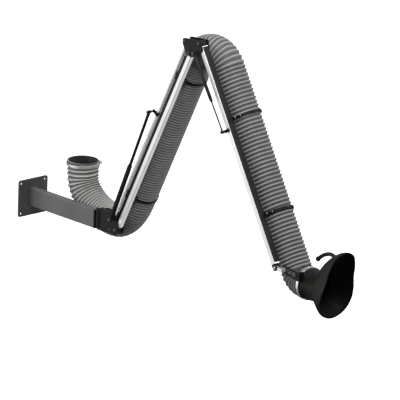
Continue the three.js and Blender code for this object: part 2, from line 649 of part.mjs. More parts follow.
// ---------------------------------------------------------------- outer arm
const earNearInner = EAR_THICKNESS - OUTER_BAR_WIDTH / 2;
const earFarInner = earNearInner + EAR_GAP;
const earFar = earFarInner + EAR_THICKNESS;
const wristPlateNear = earFar + 1;
const wristPlateFar = wristPlateNear + CHEEK_THICKNESS;

function outerArm() {
  const frame = group(elbow.x, 0, elbow.y, OUTER_ANGLE);
  const halfWidth = OUTER_BAR_WIDTH / 2;
  const halfHeight = OUTER_BAR_HEIGHT / 2;
  const profile = hollowRectangle(OUTER_BAR_HEIGHT, OUTER_BAR_WIDTH, BAR_WALL, 3);
  const barStart = halfHeight + 6;
  const barEnd = OUTER_LENGTH - WRIST_EAR_RADIUS - 8;
  add('outer_bar', profileBar(profile, barStart, barEnd), 'aluminium', frame);

  const plugY = halfWidth - BAR_WALL - GAP;
  const plugZ = halfHeight - BAR_WALL - GAP;
  const head = join(
    cylinderY(halfHeight, -halfWidth, halfWidth),
    box(0, barStart - GAP, -halfWidth, halfWidth, -halfHeight, halfHeight),
    box(0, barStart + PLUG_LENGTH, -plugY, plugY, -plugZ, plugZ),
  );
  add('outer_bar_head', cut(head, cylinderY(BOLT_RADIUS + GAP, -30, 30)), 'blackPaint', frame);

  const earAt = OUTER_LENGTH;
  const foot = join(
    box(barEnd - PLUG_LENGTH, barEnd + 2, -plugY, plugY, -plugZ, plugZ),
    box(barEnd + GAP, barEnd + 6, -halfWidth, earFar, -halfHeight, halfHeight),
    ...[[-halfWidth, earNearInner], [earFarInner, earFar]].flatMap(([low, high]) => [
      box(barEnd + GAP, earAt, low, high, -WRIST_EAR_RADIUS, WRIST_EAR_RADIUS),
      cylinderY(WRIST_EAR_RADIUS, low, high, earAt),
    ]),
  );
  add('outer_bar_foot', cut(foot, cylinderY(BOLT_RADIUS + GAP, -30, 30, earAt)), 'blackPaint', frame);

  const bracketFar = -halfWidth - GAP;
  const bracket = box(
    STRUT_HEAD_AT - 9, STRUT_HEAD_AT + 9,
    bracketFar - STRUT_BRACKET_THICKNESS, bracketFar,
    STRUT_HEAD_RISE - 8, halfHeight - 4,
  );
  add('strut_bracket', bracket, 'blackPaint', frame);

  OUTER_BAND_SHARES.forEach((share, i) => {
    const x = share * OUTER_LENGTH;
    hoseBand(`outer_band_${i + 1}`, frame, x, OUTER_HOSE_RISE, 27);
    const zHigh = OUTER_HOSE_RISE + 6;
    hoseSaddle(`outer_saddle_${i + 1}`, frame, x, halfWidth, -halfHeight + 4, zHigh, OUTER_HOSE_RISE);
  });
}

// ---------------------------------------------------------------- wrist
function wristJoint() {
  const frame = group(wrist.x, 0, wrist.y);
  const blockStart = WRIST_EAR_RADIUS + 7;
  const blockEnd = blockStart + WRIST_BLOCK_LENGTH;
  const hub = join(
    cylinderY(WRIST_EAR_RADIUS - 3, earNearInner + GAP, earFarInner - GAP),
    box(0, blockStart + 2, earNearInner + GAP, earFarInner - GAP, -9, 9),
    box(blockStart, blockEnd, -OUTER_BAR_WIDTH / 2, wristPlateNear - GAP, -9, 9),
  );
  add('wrist_hub', cut(hub, cylinderY(BOLT_RADIUS + GAP, -30, 30)), 'aluminium', frame);

  const bolt = crossBolt(-OUTER_BAR_WIDTH / 2, earFar, BOLT_RADIUS, HEAD_RADIUS - 2);
  const trim = box(-20, 20, wristPlateNear - GAP * 2, 40, -20, 20);
  add('wrist_bolt', cut(bolt, trim), 'steel', frame);

  const plateEnd = NECK_X + COLLAR_LENGTH - 2;
  const outline = roundedPolygon([
    [blockStart + 2, -14], [blockStart + 2, 14], [blockStart + 24, 18], [plateEnd, 6],
    [plateEnd, -42], [blockStart + 30, -26],
  ], 7);
  const windowStart = blockEnd + 2;
  const windowEnd = NECK_X - 8;
  const opening = roundedPolygon([
    [windowStart, 7], [windowEnd, 0], [windowEnd, -28], [windowStart, -17],
  ], 5);
  const cutter = sidePlate(opening, wristPlateNear - 1, wristPlateFar + 1);
  const pad = box(NECK_X + 3, plateEnd, wristPlateFar - 1, HOSE_Y - COLLAR_RADIUS + 12, -42, 6);
  const collar = cylinderX(COLLAR_RADIUS + GAP, NECK_X - 5, NECK_X + 80, HOSE_Y, NECK_Z, 64);
  const plate = cut(join(sidePlate(outline, wristPlateNear, wristPlateFar), pad), collar, cutter);
  add('wrist_plate', plate, 'blackPaint', frame);

  const collarFrame = group(neck.x, HOSE_Y, neck.y);
  const bore = SPIGOT_RADIUS - 4;
  const section = [
    [bore, -SPIGOT_LENGTH], [SPIGOT_RADIUS, -SPIGOT_LENGTH], [SPIGOT_RADIUS, 0], [COLLAR_RADIUS, 0],
    [COLLAR_RADIUS, COLLAR_LENGTH], [bore, COLLAR_LENGTH], [bore, -SPIGOT_LENGTH],
  ].map(([r, x]) => new THREE.Vector2(r, x));
  add('neck_collar', new THREE.LatheGeometry(section, 32).rotateZ(-Math.PI / 2), 'blackPlastic', collarFrame);
  const clampFrame = group(neck.x, 0, neck.y);
  hoseBand('neck_clamp', clampFrame, -4 - BAND_WIDTH / 2, 0, 250);
}

// ---------------------------------------------------------------- hood
// The mouth's outline is a pear: a wide round lobe below and a narrower one above.
function pearOutline() {
  const w = MOUTH_WIDTH / 2;
  const h = MOUTH_HEIGHT / 2;
  const right = [
    [0, h], [0.55 * w, 0.86 * h], [0.77 * w, 0.55 * h], [0.84 * w, 0.2 * h],
    [0.98 * w, -0.2 * h], [0.98 * w, -0.5 * h], [0.68 * w, -0.84 * h], [0, -h],
  ];
  const left = right.slice(1, -1).reverse().map(([x, y]) => [-x, y]);
  const points = [...right, ...left].map(([x, y]) => new THREE.Vector3(x, y, 0));
  return new THREE.CatmullRomCurve3(points, true, 'centripetal');
}

const mouthOutline = pearOutline().getSpacedPoints(HOOD_SIDES);

// One ring of the hood: u runs from the neck's end at 0 to the mouth at 1.
function hoodRing(u, inset) {
  const spread = 1 - (1 - u) ** FLARE_POWER;
  const tilt = radians(MOUTH_TILT) * u;
  const ring = [];
  for (let i = 0; i < HOOD_SIDES; i += 1) {
    const turn = (2 * Math.PI * i) / HOOD_SIDES;
    const round = new THREE.Vector2(Math.sin(turn), Math.cos(turn)).multiplyScalar(NECK_RADIUS);
    const wide = new THREE.Vector2(mouthOutline[i].x, mouthOutline[i].y);
    const at = round.lerp(wide, spread);
    at.setLength(at.length() - inset);
    const x = COLLAR_LENGTH + NECK_LENGTH + FLARE_DEPTH * u + at.y * Math.sin(tilt);
    ring.push(new THREE.Vector3(x, -at.x, MOUTH_RISE * spread + at.y * Math.cos(tilt)));
  }
  return ring;
}

// The neck's straight ring at x, as the hood's first rings.
function neckRing(x, inset) {
  return hoodRing(0, inset).map((p) => new THREE.Vector3(x, p.y, p.z));
}

function hoodRings(inset) {
  const rings = [neckRing(COLLAR_LENGTH + GAP, inset)];
  for (let step = 0; step <= HOOD_STEPS; step += 1) rings.push(hoodRing(step / HOOD_STEPS, inset));
  return rings;
}

// Skins neighbouring rings in order, and closes the last ring onto the first if `loop` is set.
function skin(rings, loop) {
  const positions = rings.flatMap((ring) => ring.flatMap((p) => [p.x, p.y, p.z]));
  const sides = rings[0].length;
  const index = [];
  const spans = loop ? rings.length : rings.length - 1;
  for (let r = 0; r < spans; r += 1) {
    const next = (r + 1) % rings.length;
    for (let i = 0; i < sides; i += 1) {
      const j = (i + 1) % sides;
      const [a, b, c, d] = [r * sides + i, r * sides + j, next * sides + j, next * sides + i];
      index.push(a, b, c, a, c, d);
    }
  }
  if (!loop) {
    const last = (rings.length - 1) * sides;
    for (let i = 1; i < sides - 1; i += 1) {
      index.push(0, i + 1, i);
      index.push(last, last + i, last + i + 1);
    }
  }
  const geometry = new THREE.BufferGeometry();
  geometry.setAttribute('position', new THREE.Float32BufferAttribute(positions, 3));
  geometry.setIndex(index);
  return geometry;
}

function hood() {
  const frame = group(neck.x, HOSE_Y, neck.y);
  const outside = hoodRings(0);
  const inside = hoodRings(SHELL_WALL).reverse();
  add('hood_shell', skin([...outside, ...inside], true), 'blackPlastic', frame);

  const envelope = skin(hoodRings(-GAP), false);
  const rootX = COLLAR_LENGTH + NECK_LENGTH + FLARE_DEPTH * 0.72;
  const path = new THREE.CatmullRomCurve3([
    [rootX + 24, 140], [rootX + 4, 184], [rootX - 37, 194], [rootX - 88, 177], [rootX - 128, 148],
  ].map(([x, z]) => new THREE.Vector3(x, 0, z)));
  const freeEnd = path.getPoint(1);
  const ball = new THREE.SphereGeometry(HANDLE_END_RADIUS, 12, 8).translate(freeEnd.x, 0, freeEnd.z);
  const section = new THREE.Shape();
  section.absarc(0, 0, HANDLE_RADIUS, 0, 2 * Math.PI);
  const handle = new THREE.ExtrudeGeometry(section, {
    steps: 18, curveSegments: 6, bevelEnabled: false, extrudePath: path,
  });
  add('hood_handle', cut(join(handle, ball), envelope), 'blackPlastic', frame);

  const guardX = COLLAR_LENGTH + NECK_LENGTH - 12;
  const guardRadius = NECK_RADIUS - SHELL_WALL - 1;
  const wires = [];
  for (let i = -1; i <= 1; i += 1) {
    const at = (i * guardRadius) / 2;
    const reach = Math.sqrt(guardRadius ** 2 - at ** 2) - 1;
    wires.push(cylinderY(GUARD_WIRE / 2, -reach, reach, guardX, at, 6));
    wires.push(cylinderZ(GUARD_WIRE / 2, -reach, reach, guardX, at, 6));
  }
  const rim = ringX(guardRadius - 3, guardRadius, guardX - 3, guardX + 3, 0, 0, 24);
  add('guard_grille', join(rim, ...wires), 'blackMetal', frame);
}

// ---------------------------------------------------------------- assembly
wallBracket();
pivotConsole();
innerArm();
linkBar();
strut('balance', balanceFoot, balanceHead, {
  radius: BALANCE_RADIUS,
  cylinder: BALANCE_CYLINDER,
  rod: BALANCE_ROD_RADIUS,
  bracketFace: -LINK_BAR_RADIUS - BALANCE_CLAMP_WALL,
});
elbowBracket();
outerArm();
strut('strut', strutFoot, strutHead, {
  radius: STRUT_RADIUS,
  cylinder: STRUT_CYLINDER,
  rod: STRUT_ROD_RADIUS,
  bracketFace: -OUTER_BAR_WIDTH / 2 - GAP - STRUT_BRACKET_THICKNESS,
});
hose();
wristJoint();
hood();
const inletFrame = group(INLET_X, 0, INLET_TOP, 90);
hoseBand('inlet_clamp', inletFrame, -20, 0, 200);

export default arm;
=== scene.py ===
# %% [markdown]
# A wall-mounted fume extraction arm, dressed piece by piece.
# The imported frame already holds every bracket, bar and bolt at its real size, and says how the
# arm folds. This lesson keeps the flat, cut and welded parts, and gives them their finish. It
# makes the round, sewn and moulded parts again with more detail: the spiral hose, the bands
# round it, the gas struts, the pins and the hood.

# %% Load the frame
import json
import math

import bmesh
import bpy
import numpy as np
from mathutils import Matrix, Vector


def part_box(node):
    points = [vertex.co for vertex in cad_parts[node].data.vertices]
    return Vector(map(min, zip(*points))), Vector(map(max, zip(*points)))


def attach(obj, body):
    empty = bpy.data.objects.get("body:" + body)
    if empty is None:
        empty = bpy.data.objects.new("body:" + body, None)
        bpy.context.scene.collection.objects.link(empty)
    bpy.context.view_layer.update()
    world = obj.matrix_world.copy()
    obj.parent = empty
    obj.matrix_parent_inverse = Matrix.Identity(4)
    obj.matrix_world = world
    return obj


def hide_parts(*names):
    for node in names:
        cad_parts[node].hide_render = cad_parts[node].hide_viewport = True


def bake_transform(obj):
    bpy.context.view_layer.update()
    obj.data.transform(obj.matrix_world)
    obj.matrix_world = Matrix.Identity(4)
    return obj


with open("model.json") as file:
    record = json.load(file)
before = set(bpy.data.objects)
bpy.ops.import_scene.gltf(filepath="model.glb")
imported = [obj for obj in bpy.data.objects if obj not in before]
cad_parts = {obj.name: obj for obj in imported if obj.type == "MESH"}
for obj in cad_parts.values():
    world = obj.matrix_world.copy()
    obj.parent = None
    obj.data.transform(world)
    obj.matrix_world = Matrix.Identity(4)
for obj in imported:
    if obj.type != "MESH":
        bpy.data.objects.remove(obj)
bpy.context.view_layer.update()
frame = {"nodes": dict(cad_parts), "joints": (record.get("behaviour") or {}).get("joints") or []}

# %% [markdown]
# Every measure comes from the frame. A joint says where its pin stands, and a node's box says
# where its metal begins and ends. The arms lie in upright planes, so a point along an arm is
# a distance along it and a height over it, turned by the arm's angle.

# %% Measure the arm
joint_at = {j["name"]: Vector(j["pos_m"]) for j in frame["joints"] if j.get("pos_m")}
joint_axis = {j["name"]: Vector(j["axis"]) for j in frame["joints"]}

shoulder_pin = joint_at["shoulder"]
head_pin = joint_at["bracket_level"]
elbow_pin = joint_at["elbow"]
wrist_pin = joint_at["wrist_tilt"]
neck_at = joint_at["hood_turn"]


def angle_between(start, end):
    return math.atan2(end.z - start.z, end.x - start.x)


inner_angle = angle_between(shoulder_pin, head_pin)
outer_angle = angle_between(elbow_pin, wrist_pin)


def heading(angle):
    """The direction that rises at this angle, in the arms' upright plane."""
    return Vector((math.cos(angle), 0, math.sin(angle)))


def upward(angle):
    """The direction square to a heading, on its upper side."""
    return Vector((-math.sin(angle), 0, math.cos(angle)))


print("inner arm", round((head_pin - shoulder_pin).length, 3), "m, outer arm",
      round((wrist_pin - elbow_pin).length, 3), "m")

# %% [markdown]
# Metal, plastic and cloth need different surfaces, but they are all described the same way:
# a principled shader, a little noise that varies its colour and its roughness, and a bump.
# One helper makes the noise in the object's own coordinates, so the pattern has a real size.

# %% Finish helpers
def new_finish(name, colour, roughness, metallic=0.0, specular=0.5):
    """A material with a principled shader, returned with its node tree and shader."""
    material = bpy.data.materials.new(name)
    material.use_nodes = True
    shader = material.node_tree.nodes["Principled BSDF"]
    shader.inputs["Base Color"].default_value = (*colour, 1)
    shader.inputs["Roughness"].default_value = roughness
    shader.inputs["Metallic"].default_value = metallic
    shader.inputs["Specular IOR Level"].default_value = specular
    return material, material.node_tree, shader


def noise(tree, scale, detail=3.0, stretch=(1, 1, 1), turn=0.0):
    """A noise pattern in the object's own metres. turn tips the pattern about the Y axis."""
    where = tree.nodes.new("ShaderNodeTexCoord")
    placed = tree.nodes.new("ShaderNodeMapping")
    placed.vector_type = "TEXTURE"
    placed.inputs["Scale"].default_value = stretch
    placed.inputs["Rotation"].default_value = (0, turn, 0)
    pattern = tree.nodes.new("ShaderNodeTexNoise")
    pattern.inputs["Scale"].default_value = scale
    pattern.inputs["Detail"].default_value = detail
    tree.links.new(where.outputs["Object"], placed.inputs["Vector"])
    tree.links.new(placed.outputs["Vector"], pattern.inputs["Vector"])
    return pattern.outputs["Fac"]


def between(tree, factor, low, high, start=0.3, end=0.7):
    """A number that goes from low to high as the factor goes from start to end."""
    ranged = tree.nodes.new("ShaderNodeMapRange")
    ranged.inputs["From Min"].default_value = start
    ranged.inputs["From Max"].default_value = end
    ranged.inputs["To Min"].default_value = low
    ranged.inputs["To Max"].default_value = high
    tree.links.new(factor, ranged.inputs["Value"])
    return ranged.outputs["Result"]


def colours(tree, factor, stops):
    """A colour from a ramp with these (place, colour) stops."""
    ramp = tree.nodes.new("ShaderNodeValToRGB")
    marks = ramp.color_ramp.elements
    while len(marks) < len(stops):
        marks.new(0.5)
    for mark, (place, colour) in zip(marks, stops):
        mark.position = place
        mark.color = (*colour, 1)
    tree.links.new(factor, ramp.inputs["Fac"])
    return ramp.outputs["Color"]


def raise_bump(tree, shader, height, distance, strength=1.0):
    """Tips the shader's normal by a height pattern whose full rise is distance, in metres."""
    bump = tree.nodes.new("ShaderNodeBump")
    bump.inputs["Strength"].default_value = strength
    bump.inputs["Distance"].default_value = distance
    tree.links.new(height, bump.inputs["Height"])
    tree.links.new(bump.outputs["Normal"], shader.inputs["Normal"])


def shade(colour, factor):
    return tuple(min(1.0, c * factor) for c in colour)


print("finish helpers ready")

# %% [markdown]
# The wall bracket and the console are powder-coated steel. The powder melts into a skin with
# the faint dimples of orange peel, and it picks up rubbed, duller patches. Smooth grey paint
# would look like plastic, so the paint gets both: dimples of a few millimetres as a bump, and
# slow patches in roughness and colour.

# %% Powder coat
def powder_coat(name, colour, roughness, specular):
    """Sprayed and baked powder: slow patches, and dimples a few millimetres across."""
    material, tree, shader = new_finish(name, colour, roughness, specular=specular)
    patches = noise(tree, 7.0, detail=5.0)
    tint = colours(tree, patches, [(0.3, shade(colour, 0.86)), (0.7, shade(colour, 1.14))])
    tree.links.new(tint, shader.inputs["Base Color"])
    tree.links.new(between(tree, patches, roughness - 0.06, roughness + 0.08),
                   shader.inputs["Roughness"])
    raise_bump(tree, shader, noise(tree, 420.0, detail=1.0), 0.00012, 0.6)
    return material


bracket_coat = powder_coat("bracket_coat", (0.050, 0.050, 0.051), 0.30, 0.5)
beam_coat = powder_coat("beam_coat", (0.085, 0.085, 0.085), 0.38, 0.4)
console_coat = powder_coat("console_coat", (0.006, 0.006, 0.0063), 0.46, 0.16)
print("powder coats:", bracket_coat.name, beam_coat.name, console_coat.name)

# %% [markdown]
# The arms' bars are drawn aluminium profiles. Drawing leaves fine lines along the bar. A noise
# stretched thirty times along the bar's own direction gives those lines. The two arms lie at
# different angles, so each has its own aluminium with the pattern turned to suit. The link's
# aluminium is painted near white and almost without metal, a painted reflection of bright light.

# %% Drawn aluminium
def drawn_aluminium(name, angle, colour=(0.80, 0.805, 0.81), metallic=0.85):
    """Aluminium with fine lines along a bar that rises at this angle."""
    material, tree, shader = new_finish(name, colour, 0.34, metallic=metallic)
    lines = noise(tree, 900.0, detail=2.0, stretch=(30, 1, 1), turn=-angle)
    cloud = noise(tree, 5.0, detail=3.0)
    tint = colours(tree, cloud, [(0.3, shade(colour, 0.93)), (0.75, shade(colour, 1.04))])
    tree.links.new(tint, shader.inputs["Base Color"])
    tree.links.new(between(tree, lines, 0.26, 0.44), shader.inputs["Roughness"])
    raise_bump(tree, shader, lines, 0.00004, 0.5)
    return material


inner_aluminium = drawn_aluminium("inner_aluminium", inner_angle)
outer_aluminium = drawn_aluminium("outer_aluminium", outer_angle)
hub_aluminium = drawn_aluminium("hub_aluminium", 0.0)
# Painted reflection: the link is near white and almost not metallic, so the round rod reads
# bright.
link_painted_reflection = drawn_aluminium("link_painted_reflection", inner_angle, (0.94, 0.94, 0.94), 0.05)
print("aluminium turned by", round(math.degrees(inner_angle), 1), "and",
      round(math.degrees(outer_angle), 1), "degrees")

# %% [markdown]
# The swivel pin and the wrist's bolt are zinc-plated steel, dull and slightly blotched. The
# bands' screws and the clamp on the hood's neck are brighter, and the inlet's clamp has gone
# dull. The pivot bolts are blackened. The strut rods are case-hardened in a salt bath, which
# turns them a deeper black. The struts' tubes and the bands are dipped in black enamel.

# %% Steel and enamel
def plated_steel(name, colour, low, high):
    """Steel with a thin plating: blotches between a low and a high roughness."""
    material, tree, shader = new_finish(name, colour, low, metallic=0.9)
    blotches = noise(tree, 60.0, detail=4.0)
    tint = colours(tree, blotches, [(0.25, shade(colour, 0.8)), (0.75, colour)])
    tree.links.new(tint, shader.inputs["Base Color"])
    tree.links.new(between(tree, blotches, low, high), shader.inputs["Roughness"])
    raise_bump(tree, shader, noise(tree, 900.0, detail=2.0), 0.00003, 0.5)
    return material


def enamel(name, colour, roughness, coat):
    """Dipped enamel: rubbed patches under a clear coat of this weight."""
    material, tree, shader = new_finish(name, colour, roughness, specular=0.12)
    shader.inputs["Coat Weight"].default_value = coat
    shader.inputs["Coat Roughness"].default_value = 0.12
    rubbed = noise(tree, 18.0, detail=4.0)
    tint = colours(tree, rubbed, [(0.35, colour), (0.8, shade(colour, 1.6))])
    tree.links.new(tint, shader.inputs["Base Color"])
    tree.links.new(between(tree, rubbed, roughness, roughness + 0.12),
                   shader.inputs["Roughness"])
    raise_bump(tree, shader, noise(tree, 260.0, detail=2.0), 0.00005, 0.4)
    return material


zinc_steel = plated_steel("zinc_steel", (0.46, 0.46, 0.455), 0.28, 0.44)
bright_steel = plated_steel("bright_steel", (0.80, 0.80, 0.79), 0.22, 0.36)
bolt_black = plated_steel("bolt_black", (0.085, 0.085, 0.087), 0.30, 0.46)
rod_black = plated_steel("rod_black", (0.030, 0.030, 0.032), 0.22, 0.34)
dull_steel = plated_steel("dull_steel", (0.62, 0.62, 0.61), 0.38, 0.52)
strut_enamel = enamel("strut_enamel", (0.008, 0.008, 0.008), 0.36, 0.04)
band_enamel = enamel("band_enamel", (0.006, 0.006, 0.006), 0.46, 0.05)
wire_enamel = enamel("wire_enamel", (0.014, 0.014, 0.013), 0.30, 0.3)
print("five steels and three enamels ready")

# %% [markdown]
# The hose is coated cloth over a steel spiral. Its colour is painted darker from the wire into
# the valleys between the ribs, a painted shade where the cloth sinks, and its liner is painted
# nearly black. The mesh carries a number called valley: 0 on a rib, a half between two ribs and
# 1 on the liner. The colour reads it. A fine weave and some creases come from noise. The same
# recipe takes three pairs of colours, one cloth painted at three brightnesses: the inner arm's
# hose is pushed together, its ribs show less, and it is painted lighter to make up for the shade
# on its underside; the inlet's ribs are painted lightest.

# %% Hose cloth
LINER = (0.010, 0.010, 0.010)


def hose_cloth(name, rib, valley_shade):
    """Coated cloth: rib is its colour over the wire, and the second colour is the painted shade
    between the ribs.
    """
    material, tree, shader = new_finish(name, rib, 0.55, specular=0.45)
    shader.inputs["Sheen Weight"].default_value = 0.12
    shader.inputs["Sheen Roughness"].default_value = 0.5
    carried = tree.nodes.new("ShaderNodeAttribute")
    carried.attribute_name = "valley"
    # Painted shade: the colour darkens from the rib into the valley, and the liner is painted
    # nearly black.
    blend = colours(tree, carried.outputs["Fac"],
                    [(0.0, rib), (0.16, shade(rib, 0.72)), (0.5, valley_shade), (0.7, LINER)])
    dust = noise(tree, 22.0, detail=5.0)
    mix = tree.nodes.new("ShaderNodeMix")
    mix.data_type = "RGBA"
    mix.blend_type = "MULTIPLY"
    mix.inputs["Factor"].default_value = 1.0
    tree.links.new(blend, mix.inputs["A"])
    tree.links.new(colours(tree, dust, [(0.3, (0.8, 0.8, 0.78)), (0.7, (1, 1, 1))]),
                   mix.inputs["B"])
    tree.links.new(mix.outputs["Result"], shader.inputs["Base Color"])
    tree.links.new(between(tree, dust, 0.46, 0.66), shader.inputs["Roughness"])
    raise_bump(tree, shader, noise(tree, 160.0, detail=6.0), 0.0011, 0.5)
    return material


# One cloth painted at three brightnesses: the packed cloth is painted lighter to make up for the
# shade on the inner hose's underside, and the inlet's ribs are painted lightest.
open_cloth = hose_cloth("open_cloth", (0.275, 0.28, 0.275), (0.038, 0.039, 0.038))
packed_cloth = hose_cloth("packed_cloth", (0.38, 0.38, 0.372), (0.15, 0.15, 0.148))
inlet_cloth = hose_cloth("inlet_cloth", (0.46, 0.465, 0.45), (0.065, 0.067, 0.064))
print("hose cloth:", open_cloth.name, packed_cloth.name, inlet_cloth.name)

# %% [markdown]
# The hood and its collar are moulded black plastic with a fine spark-eroded grain, which keeps
# fingerprints from showing. The grain is a high-frequency bump, and slow noise makes the
# moulding slightly uneven in gloss.

# %% Moulded plastic
def moulded_plastic(name, colour, roughness, grain):
    """Black plastic with a grain of this scale."""
    material, tree, shader = new_finish(name, colour, roughness, specular=0.16)
    flow = noise(tree, 9.0, detail=3.0)
    tint = colours(tree, flow, [(0.3, shade(colour, 0.85)), (0.7, shade(colour, 1.2))])
    tree.links.new(tint, shader.inputs["Base Color"])
    tree.links.new(between(tree, flow, roughness - 0.05, roughness + 0.08),
                   shader.inputs["Roughness"])
    raise_bump(tree, shader, noise(tree, grain, detail=2.0), 0.0002, 0.6)
    return material


hood_plastic = moulded_plastic("hood_moulding", (0.0065, 0.0062, 0.0050), 0.50, 700.0)
collar_plastic = moulded_plastic("collar_moulding", (0.0050, 0.0050, 0.0048), 0.46, 500.0)
print("mouldings:", hood_plastic.name, collar_plastic.name)

# %% [markdown]
# Round parts are made as rings of points with faces skinned between them. A turned part, such
# as a pin or a tube, is one list of distances and radii. A swept part, such as a handle, is
# rings along a path. Both end up in one helper, skin, that joins neighbouring rings.

# %% Mesh helpers
def skin(rings, loop=False, caps=True):
    """Points and faces through rings of equal count. loop joins the last ring to the first."""
    count, sides = len(rings), len(rings[0])
    points = [tuple(p) for ring in rings for p in ring]
    faces = []
    for r in range(count if loop else count - 1):
        here, there = r * sides, ((r + 1) % count) * sides
        for i in range(sides):
            j = (i + 1) % sides
            faces.append((here + i, here + j, there + j, there + i))
    if caps and not loop:
        faces.append(tuple(reversed(range(sides))))
        faces.append(tuple(range((count - 1) * sides, count * sides)))
    return points, faces


def turned(base, way, profile, sides=40, loop=False):
    """A part turned about the line from base along way: profile is (distance, radius) pairs."""
    way = Vector(way).normalized()
    across = way.orthogonal().normalized()
    other = way.cross(across)
    rings = []
    for distance, radius in profile:
        centre = Vector(base) + way * distance
        rings.append([centre + (across * math.cos(a) + other * math.sin(a)) * radius
                      for a in (2 * math.pi * i / sides for i in range(sides))])
    return skin(rings, loop=loop)


def block(centre, axes, size, chamfer=0.0008):
    """A box with chamfered ends: axes are its three directions and size its full lengths."""
    u, v, w = axes
    half = [s / 2 for s in size]
    rings = []
    for along, inset in ((-1, chamfer), (-1, 0), (1, 0), (1, chamfer)):
        reach = half[0] - (0 if inset else chamfer)
        corners = [(1, 1), (-1, 1), (-1, -1), (1, -1)]
        rings.append([Vector(centre) + u * along * reach + v * a * (half[1] - inset)
                      + w * b * (half[2] - inset) for a, b in corners])
    return skin(rings)


def together(*parts):
    """Several parts' points and faces as one mesh."""
    points, faces = [], []
    for part_points, part_faces in parts:
        start = len(points)
        points.extend(part_points)
        faces.extend(tuple(start + i for i in face) for face in part_faces)
    return points, faces


def make(name, part, finish, body, slot, *stands_for, crease=32):
    """Turns points and faces into a piece that rides on a body and stands for CAD nodes."""
    points, faces = part
    mesh = bpy.data.meshes.new(name)
    mesh.from_pydata([tuple(p) for p in points], [], faces)
    tidy = bmesh.new()
    tidy.from_mesh(mesh)
    bmesh.ops.recalc_face_normals(tidy, faces=tidy.faces)
    tidy.to_mesh(mesh)
    tidy.free()
    mesh.polygons.foreach_set("use_smooth", [True] * len(mesh.polygons))
    mesh.set_sharp_from_angle(angle=math.radians(crease))
    mesh.materials.append(finish)
    piece = bpy.data.objects.new(name, mesh)
    bpy.context.scene.collection.objects.link(piece)
    if stands_for:
        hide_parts(*stands_for)
    if body:
        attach(piece, body)
    return piece


print("mesh helpers ready")

# %% [markdown]
# The plates, bars and brackets keep the shape they have in the frame. Real cut steel has
# broken edges that catch the light, so each gets a narrow bevel, made by a modifier that
# leaves the stored mesh alone. The imported mesh has split corners, so a weld comes first.

# %% Dress the kept parts
kept_finish = {
    "wall_plate": bracket_coat, "beam_tube": beam_coat,
    "inner_bar": inner_aluminium, "outer_bar": outer_aluminium, "wrist_hub": hub_aluminium,
}
for name in ("swivel_barrel", "console_cheek_near", "console_cheek_far", "console_yoke",
             "inner_bar_foot", "inner_bar_head", "inner_saddle_1", "inner_saddle_2",
             "balance_bracket", "elbow_cheek_near", "elbow_cheek_far", "outer_bar_head",
             "outer_bar_foot", "strut_bracket", "outer_saddle_1", "outer_saddle_2",
             "wrist_plate"):
    kept_finish[name] = console_coat

BROKEN_EDGE = 0.0009
WELD_REACH = 0.00002
SHARPEST_KEPT = math.radians(40)
for name, finish in kept_finish.items():
    node = frame["nodes"][name]
    node.data.materials.clear()
    node.data.materials.append(finish)
    weld = node.modifiers.new("weld", "WELD")
    weld.merge_threshold = WELD_REACH
    edge = node.modifiers.new("broken_edge", "BEVEL")
    edge.width = BROKEN_EDGE
    edge.segments = 2
    edge.limit_method = "ANGLE"
    edge.angle_limit = SHARPEST_KEPT
print("kept and dressed:", len(kept_finish), "parts")

# %% [markdown]
# A welder joins the beam to the plate with a bead all round. It is a thin rope of overlapping
# drops. Here it is a ring of small round sections along the beam's outline, swelling at every
# drop, so it looks laid by hand.

# %% Weld bead
def outline_points(low, high, corner, steps=6):
    """A rounded rectangle in Y and Z, as points."""
    points = []
    centres = [(1, 1, 0), (-1, 1, 90), (-1, -1, 180), (1, -1, 270)]
    middle = [(a + b) / 2 for a, b in zip(low, high)]
    half = [(b - a) / 2 - corner for a, b in zip(low, high)]
    for a, b, start in centres:
        for i in range(steps + 1):
            turn = math.radians(start + 90 * i / steps)
            points.append((middle[0] + a * half[0] + corner * math.cos(turn),
                           middle[1] + b * half[1] + corner * math.sin(turn)))
    return points


def resampled(points, spacing):
    """The closed outline again, at even steps."""
    loop = np.array(points + points[:1])
    lengths = np.r_[0, np.cumsum(np.linalg.norm(np.diff(loop, axis=0), axis=1))]
    count = int(lengths[-1] / spacing)
    at = np.arange(count) * lengths[-1] / count
    return [tuple(np.interp(at, lengths, loop[:, k])[i] for k in (0, 1)) for i in range(count)]


beam_low, beam_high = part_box("beam_tube")
plate_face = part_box("wall_plate")[1][0]
BEAD = 0.0035
BEAM_CORNER = 0.005
DROP_STEP = 0.0015
ring = resampled(outline_points((beam_low[1], beam_low[2]), (beam_high[1], beam_high[2]),
                                BEAM_CORNER), DROP_STEP)
centre = (np.mean([p[0] for p in ring]), np.mean([p[1] for p in ring]))
rings = []
for i, (y, z) in enumerate(ring):
    out = Vector((0, y - centre[0], z - centre[1])).normalized()
    swell = BEAD * (0.82 + 0.18 * abs(math.sin(i * 0.6)))
    rings.append([Vector((plate_face, y, z)) + Vector((1, 0, 0)) * swell * math.sin(a)
                  + out * swell * math.cos(a) for a in (math.tau * k / 8 for k in range(8))])
make("beam_weld", skin(rings, loop=True), bracket_coat, "wall_bracket", "bracket_paint",
     crease=80)
print("weld bead of", len(ring), "steps")

# %% [markdown]
# Every pivot has a bolt across two cheeks: a chamfered hexagon head on a washer, the shank,
# and a nut with the thread's end standing proud. The frame's bolts have the right places and
# lengths, so one function reads a node's box and turns a detailed bolt there.

# %% Pivot bolts
HEAD_HEIGHT = 0.006
SHANK = 0.006
WASHER = 0.0012
WASHER_SHARE = 1.12


def hexagon(base, way, radius, height):
    """A hexagon head with a chamfered top."""
    chamfer = radius * 0.12
    return turned(base, way,
                  [(0, radius), (height - chamfer, radius), (height, radius - chamfer)],
                  sides=6)


